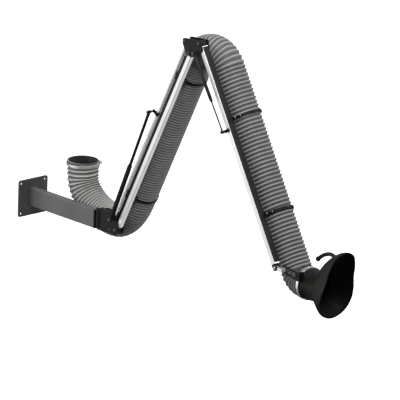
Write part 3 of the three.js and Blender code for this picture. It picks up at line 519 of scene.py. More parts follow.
def pivot_bolt(node, body, head):
    """A bolt across two cheeks, with a head of this radius and a nut like it."""
    low, high = (Vector(c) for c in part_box(node))
    x, z = (low.x + high.x) / 2, (low.z + high.z) / 2
    near, far = low.y + HEAD_HEIGHT, high.y - HEAD_HEIGHT
    parts = [turned((x, near, z), (0, 1, 0), [(0, SHANK), (far - near, SHANK)], sides=32)]
    for face, way in ((near, -1), (far, 1)):
        disc = head * WASHER_SHARE
        parts.append(turned((x, face, z), (0, way, 0),
                            [(0, disc), (WASHER * 0.7, disc), (WASHER, disc * 0.95)], sides=40))
        parts.append(hexagon((x, face + way * WASHER, z), (0, way, 0), head,
                             HEAD_HEIGHT - WASHER - 0.0005))
        parts.append(turned((x, face, z), (0, way, 0),
                            [(0, head * 0.55), (HEAD_HEIGHT - 0.0006, head * 0.55),
                             (HEAD_HEIGHT, head * 0.45)], sides=24))
    return make(node + "_turned", together(*parts), bolt_black, body, "bolt_steel", node)


for node, body, head in (("shoulder_bolt", "console", 0.010), ("link_bolt_low", "console", 0.010),
                         ("inner_head_bolt", "elbow_bracket", 0.008),
                         ("link_bolt_high", "elbow_bracket", 0.010),
                         ("elbow_bolt", "elbow_bracket", 0.010)):
    pivot_bolt(node, body, head)
print("five pivot bolts turned")

# %% [markdown]
# The wrist's bolt and the two strut studs are shorter. The wrist bolt has a head on the near
# side only, because its far end is screwed into the ear. The studs carry the struts' eyes and
# end in a retaining cap.

# %% Wrist bolt and strut studs
low, high = (Vector(c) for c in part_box("wrist_bolt"))
x, z = wrist_pin.x, wrist_pin.z
ear_face = (x, low.y + HEAD_HEIGHT, z)
WRIST_HEAD, WRIST_WASHER = 0.008, 0.0105
wrist_parts = [
    turned(ear_face, (0, 1, 0), [(0, SHANK), (high.y - low.y - HEAD_HEIGHT, SHANK)]),
    turned(ear_face, (0, -1, 0),
           [(0, WRIST_WASHER), (0.001, WRIST_WASHER), (0.0013, WRIST_WASHER - 0.0005)]),
    hexagon((x, low.y + HEAD_HEIGHT - WASHER, z), (0, -1, 0), WRIST_HEAD, 0.0046),
]
make("wrist_bolt_turned", together(*wrist_parts), zinc_steel, "wrist", "bolt_steel", "wrist_bolt")

STUD = 0.005
for node, body in (("balance_foot_stud", "console"), ("strut_foot_stud", "elbow_bracket")):
    low, high = (Vector(c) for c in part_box(node))
    x, z = (low.x + high.x) / 2, (low.z + high.z) / 2
    cap = (high.x - low.x) / 2
    length = high.y - low.y
    profile = [(0, cap - 0.001), (0.001, cap), (0.0036, cap), (0.0042, cap - 0.0012),
               (0.0046, STUD), (length, STUD)]
    make(node + "_turned", turned((x, low.y, z), (0, 1, 0), profile), bolt_black, body,
         "bolt_steel", node)
print("wrist bolt and two studs turned")

# %% [markdown]
# The swivel pin drops through the console's lugs and the beam's barrel. It has a wide domed
# head with a lubricating nipple on top and a locking nut below. The barrel itself is a plain
# tube welded to the beam's end, turned here with a lip at each end.

# %% Swivel pin
low, high = (Vector(c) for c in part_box("swivel_pin"))
swivel_at = joint_at["swivel"]
PIN = 0.009
top = high.z
pin_profile = [(0, PIN + 0.002), (0.0012, PIN + 0.0034), (0.008, PIN + 0.0034), (0.0085, PIN),
               (top - low.z - 0.0047, PIN), (top - low.z - 0.0046, PIN + 0.005),
               (top - low.z - 0.0016, PIN + 0.005), (top - low.z - 0.0006, PIN + 0.0025),
               (top - low.z - 0.0005, 0.003), (top - low.z, 0.0025)]
make("swivel_pin_turned", turned((swivel_at.x, 0, low.z), (0, 0, 1), pin_profile), zinc_steel,
     "console", "bolt_steel", "swivel_pin")
print("swivel pin", round(top - low.z, 3), "m long")

# %% [markdown]
# A gas strut is a tube with a rolled-in neck, a seal ring, a ground rod and an eye at each
# end. It could be two cylinders, but the necks and the wiper are what make it read as a gas
# strut, so both tube and rod are turned from a profile. The strut's line runs from its foot
# pin along the slide's own axis.

# %% Gas struts
def eye(centre, radius, bore, width):
    """A ring that turns on a pin along Y."""
    edge = 0.0008
    profile = [(0, bore), (0, radius - edge), (edge, radius), (width - edge, radius),
               (width, radius - edge), (width, bore)]
    return turned((centre.x, centre.y - width / 2, centre.z), (0, 1, 0), profile, loop=True)


HEAD_EYE = 0.009


def gas_strut(prefix, radius, rod, tube, bracket):
    """A strut of this tube radius, rod radius and tube length, whose head pin ends at bracket."""
    foot = joint_at[prefix + "_swing"].copy()
    low, high = (Vector(c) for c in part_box(prefix + "_cylinder"))
    foot.y = (low.y + high.y) / 2
    way = joint_axis[prefix + "_stroke"].normalized()
    rod_low, rod_high = (Vector(c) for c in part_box(prefix + "_rod"))
    neck = (radius + rod) / 2
    tip = rod_high.z - HEAD_EYE if way.z > 0 else rod_low.z + HEAD_EYE
    reach = (tip - foot.z) / way.z
    tube_profile = [(0.012, radius * 0.55), (0.016, radius * 0.62), (0.021, radius * 0.94),
                    (0.024, radius), (tube - 0.012, radius), (tube - 0.010, radius * 0.93),
                    (tube - 0.008, radius * 0.93), (tube - 0.006, radius), (tube - 0.002, radius),
                    (tube, radius * 0.92), (tube + 0.004, neck + 0.0005),
                    (tube + 0.009, neck), (tube + 0.009, rod + 0.0004)]
    foot_eye = eye(foot, radius + 0.0006, 0.0053, radius * 1.2)
    make(prefix + "_tube", together(turned(foot, way, tube_profile, sides=48), foot_eye),
         strut_enamel, prefix + "_tube", "strut_black", prefix + "_cylinder")
    head = foot + way * reach
    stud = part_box(bracket)[0][1] - foot.y
    shoulder = reach - HEAD_EYE
    rod_parts = [
        turned(foot, way, [(tube - 0.08, rod), (shoulder + 0.001, rod)], sides=32),
        turned(foot, way, [(shoulder - 0.012, rod), (shoulder - 0.011, rod + 0.0010),
                           (shoulder - 0.002, rod + 0.0010), (shoulder - 0.001, rod)],
               sides=32),
        turned(head - Vector((0, rod + 0.002, 0)), (0, 1, 0),
               [(0, HEAD_EYE - 0.001), (0.001, HEAD_EYE), (2 * rod + 0.003, HEAD_EYE),
                (2 * rod + 0.004, HEAD_EYE - 0.001)]),
        turned(head - Vector((0, rod + 0.007, 0)), (0, 1, 0),
               [(0, 0.007), (0.001, 0.008), (0.004, 0.008), (0.0045, STUD),
                (stud + rod + 0.0064, STUD)]),
    ]
    make(prefix + "_piston_rod", together(*rod_parts), rod_black, prefix + "_piston",
         "rod_black", prefix + "_rod")
    return reach


lower_reach = gas_strut("balance", radius=0.0125, rod=0.008, tube=0.350, bracket="balance_bracket")
upper_reach = gas_strut("strut", radius=0.009, rod=0.004, tube=0.262, bracket="strut_bracket")
print("lower strut", round(lower_reach, 3), "m, upper strut", round(upper_reach, 3), "m")

# %% [markdown]
# The link is a round aluminium rod with an eye at each end. It keeps the elbow bracket level
# while the inner arm swings. It is turned again so that it is truly round, with a small collar
# where each eye is swaged on.

# %% Link rod
link_foot = joint_at["link_swing"]
link_length = (head_pin - shoulder_pin).length
link_way = heading(inner_angle)
LINK = 0.008
SWAGE = LINK + 0.0012
LINK_EYE, LINK_BORE = 0.012, 0.0063
link_end = [(0.008, LINK), (0.020, LINK), (0.021, SWAGE), (0.034, SWAGE), (0.036, LINK)]
link_profile = link_end + [(link_length - distance, radius)
                           for distance, radius in reversed(link_end)]
link_parts = [turned(link_foot, link_way, link_profile)]
for distance in (0, link_length):
    link_parts.append(eye(link_foot + link_way * distance, LINK_EYE, LINK_BORE, 2 * LINK))
make("link_rod", together(*link_parts), link_painted_reflection, "link", "arm_aluminium", "link_bar")
print("link rod", round(link_length, 3), "m")

# %% [markdown]
# Two black strips lie along the bars, and both are painted shade. The outer bar's top is dark
# only by reflection, so a flat black strip with a row of small turned heads lies on it. A black
# strip stands on the inner bar, between it and the link, where there is only shade. A chamfered
# block of the right length is enough for each, with turned heads.

# %% Painted shade strips
def strip_along(start, angle, first, last, y, rise, width, height):
    """A straight strip that follows an arm, from first to last along it."""
    along, over = heading(angle), upward(angle)
    centre = start + along * (first + last) / 2 + over * rise + Vector((0, y, 0))
    return block(centre, (along, Vector((0, 1, 0)), over), (last - first, width, height), 0.0007)


outer_length = (wrist_pin - elbow_pin).length
BAR_TOP, INNER_BAR_TOP = 0.015, 0.0125
OUTER_SHADE_WIDTH, OUTER_SHADE_THICKNESS = 0.036, 0.003
STRIP_HEAD_SPACING = 0.062
INNER_SHADE_HEIGHT, INNER_SHADE_THICKNESS = 0.018, 0.005
# Painted dark reflection: a black strip and small black heads along the outer bar's top.
outer_shade_parts = [strip_along(elbow_pin, outer_angle, 0.024, outer_length - 0.030, 0, BAR_TOP + 0.0018,
                     OUTER_SHADE_WIDTH, OUTER_SHADE_THICKNESS)]
strip_head_places = np.arange(0.09, outer_length - 0.05, STRIP_HEAD_SPACING)
for place in strip_head_places:
    foot = elbow_pin + heading(outer_angle) * place + upward(outer_angle) * (BAR_TOP + 0.0032)
    outer_shade_parts.append(turned(foot, upward(outer_angle),
                        [(0, 0.0042), (0.0010, 0.0042), (0.0020, 0.0026)], sides=16))
make("outer_painted_shade_strip", together(*outer_shade_parts), console_coat, "outer_arm", "console_paint")

# Painted shade: a black strip on the inner bar, where shade falls between the bar and the link.
inner_shade_strip = strip_along(shoulder_pin, inner_angle, 0.050, link_length - 0.045, -0.0080,
                     INNER_BAR_TOP + INNER_SHADE_HEIGHT / 2, INNER_SHADE_THICKNESS, INNER_SHADE_HEIGHT)
make("inner_painted_shade_strip", inner_shade_strip, console_coat, "inner_arm", "console_paint")
print("cover strip with", len(strip_head_places), "screws, and a flange of", INNER_SHADE_HEIGHT, "m")

# %% [markdown]
# The hose's line is found from the frame's own hose solids. A slanted straight tube's box has
# its centre on the tube's middle, and its height gives the tube's length. The bends between
# the straight runs are smooth curves that leave one run and arrive at the next.

# %% Hose line
inlet_low, inlet_high = (Vector(c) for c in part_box("hose_inlet"))
HOSE = (inlet_high.x - inlet_low.x) / 2
hose_y = (inlet_low.y + inlet_high.y) / 2
HOSE_WALL = 0.005
ELBOW_HOSE_GAP = 0.054


def run_ends(node, angle):
    """Both ends of the axis of a straight, slanted run of hose."""
    low, high = (Vector(c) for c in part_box(node))
    length = (high.z - low.z - 2 * HOSE * math.cos(angle)) / abs(math.sin(angle))
    middle = (low + high) / 2
    step = heading(angle) * (length / 2)
    return middle - step, middle + step


def curve(start, start_angle, end, end_angle, count=160):
    """A bend that leaves start and arrives at end along the two given headings."""
    a, b = heading(start_angle), heading(end_angle)
    span = end - start
    turn = a.x * b.z - a.z * b.x
    before = (span.x * b.z - span.z * b.x) / turn
    after = (a.x * span.z - a.z * span.x) / turn
    bend = math.acos(max(-1, min(1, a.dot(b))))
    share = 4 / 3 * math.tan(bend / 4) / math.tan(bend / 2)
    p1, p2 = start + a * before * share, end - b * after * share
    points = []
    for i in range(count + 1):
        t = i / count
        s = 1 - t
        points.append(start * s ** 3 + p1 * 3 * s * s * t + p2 * 3 * s * t * t + end * t ** 3)
    return points


def line(start, end, count=40):
    return [start.lerp(end, i / count) for i in range(count + 1)]


inner_start, inner_end = run_ends("hose_inner", inner_angle)
outer_start, outer_end = run_ends("hose_outer", outer_angle)
inlet_top = Vector(((inlet_low.x + inlet_high.x) / 2, hose_y, inlet_high.z))
inlet_foot = Vector((inlet_top.x, hose_y, inlet_low.z))
under_swivel = Vector((joint_at["swivel"].x, hose_y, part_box("hose_base_bend")[0][2] + HOSE))
middle_angle = (inner_angle + outer_angle) / 2
bend_radius = HOSE + ELBOW_HOSE_GAP
bend_centre = inner_end - upward(inner_angle) * bend_radius
elbow_top = bend_centre + upward(middle_angle) * bend_radius
print("hose", round(2 * HOSE, 3), "m across; straight runs",
      round((inner_end - inner_start).length, 3), round((outer_end - outer_start).length, 3))

# %% [markdown]
# The spiral wire lifts the cloth into ribs, and the cloth sags between them. The mesh follows
# that: its radius falls from the wire to the valley and rises again, and each turn round the
# hose moves on by one rib, as a real spiral does. The ribs stand about 22 mm apart on the outer
# arm, and they are pushed together on the inner arm. A smooth liner inside closes the mesh.

# %% Ribbed hose
HOSE_SIDES = 60
LINER_DROP = 0.0012


def measured(points):
    """The path as an array, with the distance to each point."""
    path = np.array([tuple(p) for p in points])
    keep = np.r_[True, np.linalg.norm(np.diff(path, axis=0), axis=1) > 1e-7]
    path = path[keep]
    return path, np.r_[0, np.cumsum(np.linalg.norm(np.diff(path, axis=0), axis=1))]


def hose_rings(path, lengths, stations, radii):
    """One ring of points at each station. radii(i, turns) gives a ring's radii."""
    at = np.stack([np.interp(stations, lengths, path[:, k]) for k in range(3)], axis=1)
    tangents = np.gradient(path, lengths, axis=0)
    way = np.stack([np.interp(stations, lengths, tangents[:, k]) for k in range(3)], axis=1)
    way /= np.linalg.norm(way, axis=1)[:, None]
    turns = np.arange(HOSE_SIDES) / HOSE_SIDES
    side = np.array([0.0, -1.0, 0.0])
    rings = []
    for i in range(len(stations)):
        up = np.array([-way[i, 2], 0, way[i, 0]])
        r = radii(i, turns)
        ring = (at[i] + np.outer(r * np.cos(math.tau * turns), side)
                + np.outer(r * np.sin(math.tau * turns), up))
        rings.append(ring)
    return rings


def ribbed_hose(name, node, points, pitches, depths, start_phase, finish, body=None, steps=12):
    """A stretch of hose. pitches and depths are (first, last) values along it."""
    path, lengths = measured(points)
    total = lengths[-1]
    fine = np.linspace(0, total, 2000)
    pitch = np.interp(fine, [0, total], pitches)
    turned_by = start_phase + np.r_[0, np.cumsum(np.diff(fine) / pitch[:-1])]
    count = max(8, int((turned_by[-1] - start_phase) * steps))
    stations = np.interp(np.linspace(start_phase, turned_by[-1], count + 1), turned_by, fine)
    phase = np.interp(stations, fine, turned_by)
    depth = np.interp(stations, [0, total], depths)
    sink = [np.abs(np.sin(math.pi * (phase[i] + np.arange(HOSE_SIDES) / HOSE_SIDES))) ** 1.1
            for i in range(len(stations))]
    outside = hose_rings(path, lengths, stations,
                         lambda i, turns: HOSE - depth[i] * sink[i])
    inner_stations = np.linspace(total, 0, max(3, int(total / 0.02)))
    liner = HOSE - np.interp(inner_stations, [0, total], depths) - LINER_DROP
    inside = hose_rings(path, lengths, inner_stations,
                        lambda i, turns: np.full(HOSE_SIDES, liner[i]))
    piece = make(name, skin(outside + inside, loop=True), finish, None, "hose_fabric", node,
                 crease=85)
    # The valley number sets the painted shade between the ribs and the liner's near-black colour.
    values = np.concatenate([0.5 * s for s in sink] + [np.ones(HOSE_SIDES)] * len(inside))
    mark = piece.data.attributes.new("valley", "FLOAT", "POINT")
    mark.data.foreach_set("value", values.astype(np.float32))
    if body:
        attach(piece, body)
    print(f"  {name}: {total:.3f} m, {len(outside)} rings")
    return piece, turned_by[-1] % 1.0


OPEN_RIB, OPEN_SINK = 0.0215, 0.0080
PACKED_RIB, PACKED_SINK = 0.0165, 0.0045
COARSE_RIB = 0.0245
_, phase = ribbed_hose("inlet_hose", "hose_inlet", line(inlet_top, inlet_foot),
                       (COARSE_RIB, COARSE_RIB), (0.0055, OPEN_SINK), 0.0, inlet_cloth,
                       "wall_bracket")
base_hose, phase = ribbed_hose(
    "base_hose", "hose_base_bend", curve(inlet_foot, -math.pi / 2, under_swivel, 0.0),
    (COARSE_RIB, 0.0185), (OPEN_SINK, 0.0060), phase, inlet_cloth)
shoulder_hose, phase = ribbed_hose(
    "shoulder_hose", "hose_shoulder_bend", curve(under_swivel, 0.0, inner_start, inner_angle),
    (0.0185, PACKED_RIB), (0.0060, PACKED_SINK), phase, packed_cloth, steps=10)
_, phase = ribbed_hose("inner_arm_hose", "hose_inner", line(inner_start, inner_end),
                       (PACKED_RIB, PACKED_RIB), (PACKED_SINK, PACKED_SINK), phase,
                       packed_cloth, "inner_arm", steps=10)
rising_hose, phase = ribbed_hose(
    "rising_hose", "hose_elbow_rise", curve(inner_end, inner_angle, elbow_top, middle_angle),
    (PACKED_RIB, 0.0185), (PACKED_SINK, OPEN_SINK), phase, open_cloth)
falling_hose, phase = ribbed_hose(
    "falling_hose", "hose_elbow_fall", curve(elbow_top, middle_angle, outer_start, outer_angle),
    (0.0185, OPEN_RIB), (OPEN_SINK, OPEN_SINK), phase, open_cloth)
_, phase = ribbed_hose("outer_arm_hose", "hose_outer", line(outer_start, outer_end),
                       (OPEN_RIB, OPEN_RIB), (OPEN_SINK, OPEN_SINK), phase, open_cloth,
                       "outer_arm")
collar_low, collar_high = (Vector(c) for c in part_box("neck_collar"))
WRIST_BEND = HOSE + 0.010
neck_face = Vector((neck_at.x - 0.004, hose_y, neck_at.z))


def straight_bend_straight(start, start_angle, end, end_angle, radius):
    """A straight, a bend of one radius about the corner, and a straight."""
    a, b = heading(start_angle), heading(end_angle)
    span = end - start
    turn = a.x * b.z - a.z * b.x
    before = (span.x * b.z - span.z * b.x) / turn
    after = (a.x * span.z - a.z * span.x) / turn
    tangent = radius * math.tan(math.acos(a.dot(b)) / 2)
    bend_start = start + a * (before - tangent)
    bend_end = end + b * (tangent - after)
    return (line(start, bend_start) + curve(bend_start, start_angle, bend_end, end_angle)
            + line(bend_end, end))


wrist_hose, phase = ribbed_hose(
    "wrist_hose", "hose_wrist_bend",
    straight_bend_straight(outer_end, outer_angle, neck_face, 0.0, WRIST_BEND),
    (OPEN_RIB, 0.017), (OPEN_SINK, 0.0045), phase, open_cloth)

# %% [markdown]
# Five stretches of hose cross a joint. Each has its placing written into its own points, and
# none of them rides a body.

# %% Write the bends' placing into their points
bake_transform(base_hose)
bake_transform(shoulder_hose)
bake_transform(rising_hose)
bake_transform(falling_hose)
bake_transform(wrist_hose)

# %% [markdown]
# Worm-drive bands hold the hose. A band is a strip with a row of slots that the screw's thread
# bites into, a pressed housing, and a screw with a slotted hexagon head. The strip and the
# housing are one piece, and the screw is another, as in the frame.

# %% Hose bands
BAND_INSIDE = HOSE + 0.001
BAND_THICKNESS = 0.004
STRIP_THICKNESS = 0.0022
BAND_WIDTH = 0.016
BAND_SLOTS = 30
SEAT = BAND_INSIDE + BAND_THICKNESS + 0.005


def hose_band(node, body, at, angle, housing_turn, finish, slot):
    """A band round the hose at a point on its axis, with its housing turned to one side."""
    along, up = heading(angle), upward(angle)
    out = (Vector((0, -1, 0)) * math.cos(housing_turn) + up * math.sin(housing_turn)).normalized()
    round_it = along.cross(out).normalized()
    half, thin = BAND_WIDTH / 2, STRIP_THICKNESS
    strip = turned(at, along,
                   [(-half, BAND_INSIDE), (-half, BAND_INSIDE + thin - 0.0005),
                    (-half + 0.0005, BAND_INSIDE + thin), (half - 0.0005, BAND_INSIDE + thin),
                    (half, BAND_INSIDE + thin - 0.0005), (half, BAND_INSIDE)],
                   sides=120, loop=True)
    parts = [strip]
    for i in range(BAND_SLOTS):
        turn = math.radians(30 + 300 * i / (BAND_SLOTS - 1))
        spoke = out * math.cos(turn) + round_it * math.sin(turn)
        ring_way = (-out * math.sin(turn) + round_it * math.cos(turn)).normalized()
        parts.append(block(at + spoke * (BAND_INSIDE + thin), (along, ring_way, spoke),
                           (0.009, 0.003, 0.0012), 0.0003))
    parts.append(block(at + out * (SEAT - 0.0065), (round_it, along, out),
                       (0.026, 0.0135, 0.007), 0.001))
    parts.append(turned(at + out * (SEAT + 0.001) - round_it * 0.0125, round_it,
                        [(0, 0.0064), (0.001, 0.0070), (0.024, 0.0070), (0.025, 0.0064)],
                        sides=28))
    make(node + "_strip", together(*parts), finish, body, slot, node)
    worm = at + out * (SEAT + 0.001)
    screw = together(
        turned(worm - round_it * 0.016, round_it, [(0, 0.0034), (0.001, 0.004), (0.030, 0.004)],
               sides=24),
        turned(worm + round_it * 0.0133, round_it,
               [(0, 0.0062), (0.0056, 0.0062), (0.0066, 0.0052)], sides=6),
        block(worm + round_it * 0.0195, (round_it, along, out), (0.001, 0.0012, 0.009), 0.0002),
    )
    make(node + "_screw_turned", screw, bright_steel, body, "bolt_steel", node + "_screw")


def station(node, start, angle):
    """How far along an arm's hose a saddle stands."""
    low, high = (Vector(c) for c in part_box(node))
    return ((low + high) / 2 - start).dot(heading(angle))


for i in (1, 2):
    reach = station(f"inner_saddle_{i}", inner_start, inner_angle)
    hose_band(f"inner_band_{i}", "inner_arm", inner_start + heading(inner_angle) * reach,
              inner_angle, math.radians(150), band_enamel, "band_black")
    reach = station(f"outer_saddle_{i}", outer_start, outer_angle)
    hose_band(f"outer_band_{i}", "outer_arm", outer_start + heading(outer_angle) * reach,
              outer_angle, math.radians(27), band_enamel, "band_black")
hose_band("neck_clamp", "wrist",
          Vector((neck_at.x - 0.004 - BAND_WIDTH / 2, hose_y, neck_at.z)), 0.0,
          math.radians(250), bright_steel, "clamp_steel")
hose_band("inlet_clamp", "wall_bracket", inlet_top - Vector((0, 0, 0.020)), math.pi / 2,
          math.radians(200), dull_steel, "clamp_steel")
print("six bands fitted")

# %% [markdown]
# The collar joins the hose to the hood, which turns on it. It is a plastic ring with a spigot
# inside the hose, turned here with a lip, a shallow grip groove and rounded edges.

# %% Neck collar
neck_centre = Vector((neck_at.x, hose_y, neck_at.z))
COLLAR = (collar_high.z - collar_low.z) / 2
collar_length = collar_high.x - neck_at.x
spigot_length = neck_at.x - collar_low.x
spigot = HOSE - HOSE_WALL - 0.0015
bore = spigot - 0.004
collar_profile = [
    (-spigot_length, bore), (-spigot_length, spigot - 0.001), (-spigot_length + 0.001, spigot),
    (0, spigot), (0, COLLAR - 0.0015), (0.0015, COLLAR), (0.007, COLLAR),
    (0.008, COLLAR - 0.0014), (0.012, COLLAR - 0.0014), (0.013, COLLAR),
    (collar_length - 0.0015, COLLAR), (collar_length, COLLAR - 0.0015), (collar_length, bore),
]
make("collar_ring", turned(neck_centre, (1, 0, 0), collar_profile, sides=96, loop=True),
     collar_plastic, "wrist", "collar_plastic", "neck_collar")
print("collar", round(2 * COLLAR, 3), "m across")

# %% [markdown]
# The hood is a moulded shell that changes from the neck's circle to a pear-shaped mouth. The
# pear is drawn as eight points on each side with a smooth curve through them. Each ring of the
# shell is part circle and part pear, and the last rings roll outward into a thick, smooth lip.

# %% Hood shell
NECK = HOSE - 0.004
NECK_LENGTH = 0.062
FLARE = 0.126
FLARE_POWER = 1.6
SHELL = 0.004
MOUTH_RISE = 0.042
MOUTH_TILT = math.radians(13.2)
MOUTH_HALF_WIDTH = 0.117
MOUTH_HALF_HEIGHT = 0.193
HOOD_SIDES = 108


def smooth_through(points, closed, count):
    """Evenly spaced points on a smooth curve through the given ones."""
    given = [np.array(p, float) for p in points]
    n = len(given)
    dense = []
    for i in range(n if closed else n - 1):
        if closed:
            p = [given[(i + k) % n] for k in (-1, 0, 1, 2)]
        else:
            p = [given[max(0, i - 1)], given[i], given[i + 1], given[min(n - 1, i + 2)]]
            if i == 0:
                p[0] = 2 * p[1] - p[2]
            if i == n - 2:
                p[3] = 2 * p[2] - p[1]
        gap = [max(np.linalg.norm(p[k + 1] - p[k]) ** 0.5, 1e-6) for k in range(3)]
        m1 = (p[2] - p[1]) + gap[1] * ((p[1] - p[0]) / gap[0] - (p[2] - p[0]) / (gap[0] + gap[1]))
        m2 = (p[2] - p[1]) + gap[1] * ((p[3] - p[2]) / gap[2] - (p[3] - p[1]) / (gap[1] + gap[2]))
        for t in np.linspace(0, 1, 60, endpoint=False):
            dense.append((2 * t ** 3 - 3 * t ** 2 + 1) * p[1] + (t ** 3 - 2 * t ** 2 + t) * m1
                         + (3 * t ** 2 - 2 * t ** 3) * p[2] + (t ** 3 - t ** 2) * m2)
    dense.append(given[0] if closed else given[-1])
    dense = np.array(dense)
    lengths = np.r_[0, np.cumsum(np.linalg.norm(np.diff(dense, axis=0), axis=1))]
    at = np.linspace(0, lengths[-1], count, endpoint=not closed)
    return np.stack([np.interp(at, lengths, dense[:, k]) for k in range(dense.shape[1])], axis=1)


pear_side = [(0, 1), (0.55, 0.86), (0.77, 0.55), (0.84, 0.2), (0.98, -0.2), (0.98, -0.5),
             (0.68, -0.84), (0, -1)]
pear = pear_side + [(-x, y) for x, y in reversed(pear_side[1:-1])]
mouth = smooth_through([(x * MOUTH_HALF_WIDTH, y * MOUTH_HALF_HEIGHT) for x, y in pear], True,
                       HOOD_SIDES)
turns = math.tau * np.arange(HOOD_SIDES) / HOOD_SIDES
neck_circle = np.stack([np.sin(turns), np.cos(turns)], axis=1) * NECK


def hood_ring(u, inset):
    """The shell's outline at u, 0 at the neck and 1 at the mouth, drawn in by inset."""
    spread = 1 - (1 - u) ** FLARE_POWER
    tilt = MOUTH_TILT * u
    at = neck_circle * (1 - spread) + mouth * spread
    size = np.linalg.norm(at, axis=1, keepdims=True)
    at = at * (size - inset) / size
    x = collar_length + NECK_LENGTH + FLARE * u + at[:, 1] * math.sin(tilt)
    return np.stack([neck_centre.x + x, neck_centre.y - at[:, 0],
                     neck_centre.z + MOUTH_RISE * spread + at[:, 1] * math.cos(tilt)], axis=1)


def neck_ring(x, inset):
    """The neck's circle at x from the collar's face, drawn in by inset."""
    ring = hood_ring(0, inset)
    ring[:, 0] = neck_centre.x + x
    return ring


shell_rings = [neck_ring(collar_length + 0.0003, 0.0012), neck_ring(collar_length + 0.0015, 0)]
shell_rings += [neck_ring(collar_length + 0.010, 0), neck_ring(collar_length + 0.011, 0.001),
                neck_ring(collar_length + 0.014, 0.001), neck_ring(collar_length + 0.015, 0)]
shell_rings += [hood_ring(u, 0) for u in np.linspace(0, 0.95, 26)]
shell_rings += [hood_ring(0.965, 0.0002), hood_ring(0.985, 0.0), hood_ring(1.0, 0.0010),
                hood_ring(1.0, 0.0030), hood_ring(0.990, 0.0046)]
shell_rings += [hood_ring(u, SHELL) for u in np.linspace(0.96, 0, 26)]
shell_rings += [neck_ring(collar_length + 0.0003, SHELL)]
make("hood_moulding", skin(shell_rings, loop=True), hood_plastic, "hood", "hood_plastic",
     "hood_shell", crease=50)
print("hood shell of", len(shell_rings), "rings of", HOOD_SIDES, "points")

# %% [markdown]
# The handle grows out of the hood's brow and curls back over the neck, so a hand can pull the
# arm along. It is a rod swept along a smooth curve, with a broad foot where it meets the shell
# and a ball on its free end. The ball is made by the same rings: their radius follows a circle.

# %% Hood handle
handle_root = collar_length + NECK_LENGTH + FLARE * 0.72
handle_marks = [(handle_root + 0.024, 0.140), (handle_root + 0.004, 0.184),
                (handle_root - 0.037, 0.194), (handle_root - 0.088, 0.177),
                (handle_root - 0.128, 0.148)]
HANDLE, KNOB = 0.0105, 0.0138
HANDLE_STEPS = 60
FOOT_SHARE = 0.30
spine = smooth_through(handle_marks, False, HANDLE_STEPS)
way_along = np.gradient(spine, axis=0)
way_along /= np.linalg.norm(way_along, axis=1)[:, None]
left_to_go = np.r_[np.cumsum(np.linalg.norm(np.diff(spine[::-1], axis=0), axis=1))[::-1], 0]


def handle_ring(centre, way, radius, foot):
    """A slightly oval ring round the handle's line."""
    middle = Vector((neck_centre.x + centre[0], hose_y, neck_centre.z + centre[1]))
    over = Vector((-way[1], 0, way[0]))
    return [middle + Vector((0, math.cos(a), 0)) * radius * foot + over * radius * math.sin(a)
            for a in (math.tau * k / 28 for k in range(28))]


rings = []
for i in range(HANDLE_STEPS // 6, HANDLE_STEPS):
    foot = 1.0 + 0.45 * max(0, (FOOT_SHARE - i / (HANDLE_STEPS - 1)) / FOOT_SHARE) ** 2
    ball = math.sqrt(max(0.0, KNOB ** 2 - left_to_go[i] ** 2))
    rings.append(handle_ring(spine[i], way_along[i], max(HANDLE, ball), foot))
for k in range(1, 8):
    turn = math.radians(90 * k / 7.2)
    rings.append(handle_ring(spine[-1] + way_along[-1] * KNOB * math.sin(turn), way_along[-1],
                             KNOB * math.cos(turn), 1.0))
make("hood_grip", skin(rings), hood_plastic, "hood", "hood_plastic", "hood_handle", crease=60)
print("handle", round(float(np.sum(np.linalg.norm(np.diff(spine, axis=0), axis=1))), 3), "m long")

# %% [markdown]
# A guard in the neck stops rags being drawn in. It is bent from wire: a rim and crossed rods.
# Each rod is a turned wire, and the rim is a ring of square section with its corners rounded.

# %% Guard grille
grille_low, grille_high = (Vector(c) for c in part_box("guard_grille"))
guard_x = (grille_low.x + grille_high.x) / 2
guard = (grille_high.z - grille_low.z) / 2
WIRE = 0.00125
rim = turned((grille_low.x, hose_y, neck_centre.z), (1, 0, 0),
             [(0.0006, guard - 0.003), (0, guard - 0.0024), (0, guard - 0.0006),
              (0.0006, guard), (0.0054, guard), (0.006, guard - 0.0006),
              (0.006, guard - 0.0024), (0.0054, guard - 0.003)], sides=96, loop=True)
wires = [rim]
for i in (-1, 0, 1):
    offset = i * guard / 2
    reach = math.sqrt(guard ** 2 - offset ** 2) - 0.001
    wires.append(turned((guard_x - WIRE, hose_y - reach, neck_centre.z + offset), (0, 1, 0),
                        [(0, WIRE), (2 * reach, WIRE)], sides=12))
    wires.append(turned((guard_x + WIRE, hose_y + offset, neck_centre.z - reach), (0, 0, 1),
                        [(0, WIRE), (2 * reach, WIRE)], sides=12))
make("guard_wires", together(*wires), wire_enamel, "hood", "grille_wire", "guard_grille")
print("guard", round(2 * guard, 3), "m across")

# %% [markdown]
# Small fittings finish the console: a second bolt clamps its cheeks together behind the main
# pivot. It has the same washer and chamfered hexagon as the pivots, only smaller.

# %% Small fittings
cheek_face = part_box("console_cheek_near")[0][1]
clamp_at = Vector((joint_at["swivel"].x + 0.104, cheek_face, shoulder_pin.z - 0.008))
clamp_bolt = together(
    turned(clamp_at, (0, -1, 0), [(0, 0.0092), (0.0010, 0.0092), (0.0014, 0.0086)], sides=36),
    hexagon(clamp_at + Vector((0, -0.0013, 0)), (0, -1, 0), 0.0068, 0.0042))
make("console_clamp_bolt", clamp_bolt, bolt_black, "console", "bolt_steel")
print("clamp bolt fitted at", [round(v, 3) for v in clamp_at])

# %% [markdown]
# The setting is plain, as in a catalogue: a white floor and soft light from above, so that the
# arms' upper sides are light and their undersides dark. The sky is a gradient that lights the
# metal with a bright top and a dim base. The floor is bright to the eye but throws no light
# back up, or the black parts would turn grey. A weak, wide light low on one side is there for
# the bars alone: flat bright metal shows whatever stands opposite it, so it needs a pale card.
# A pale spot low in the sky behind does the same for the undersides of the bars.

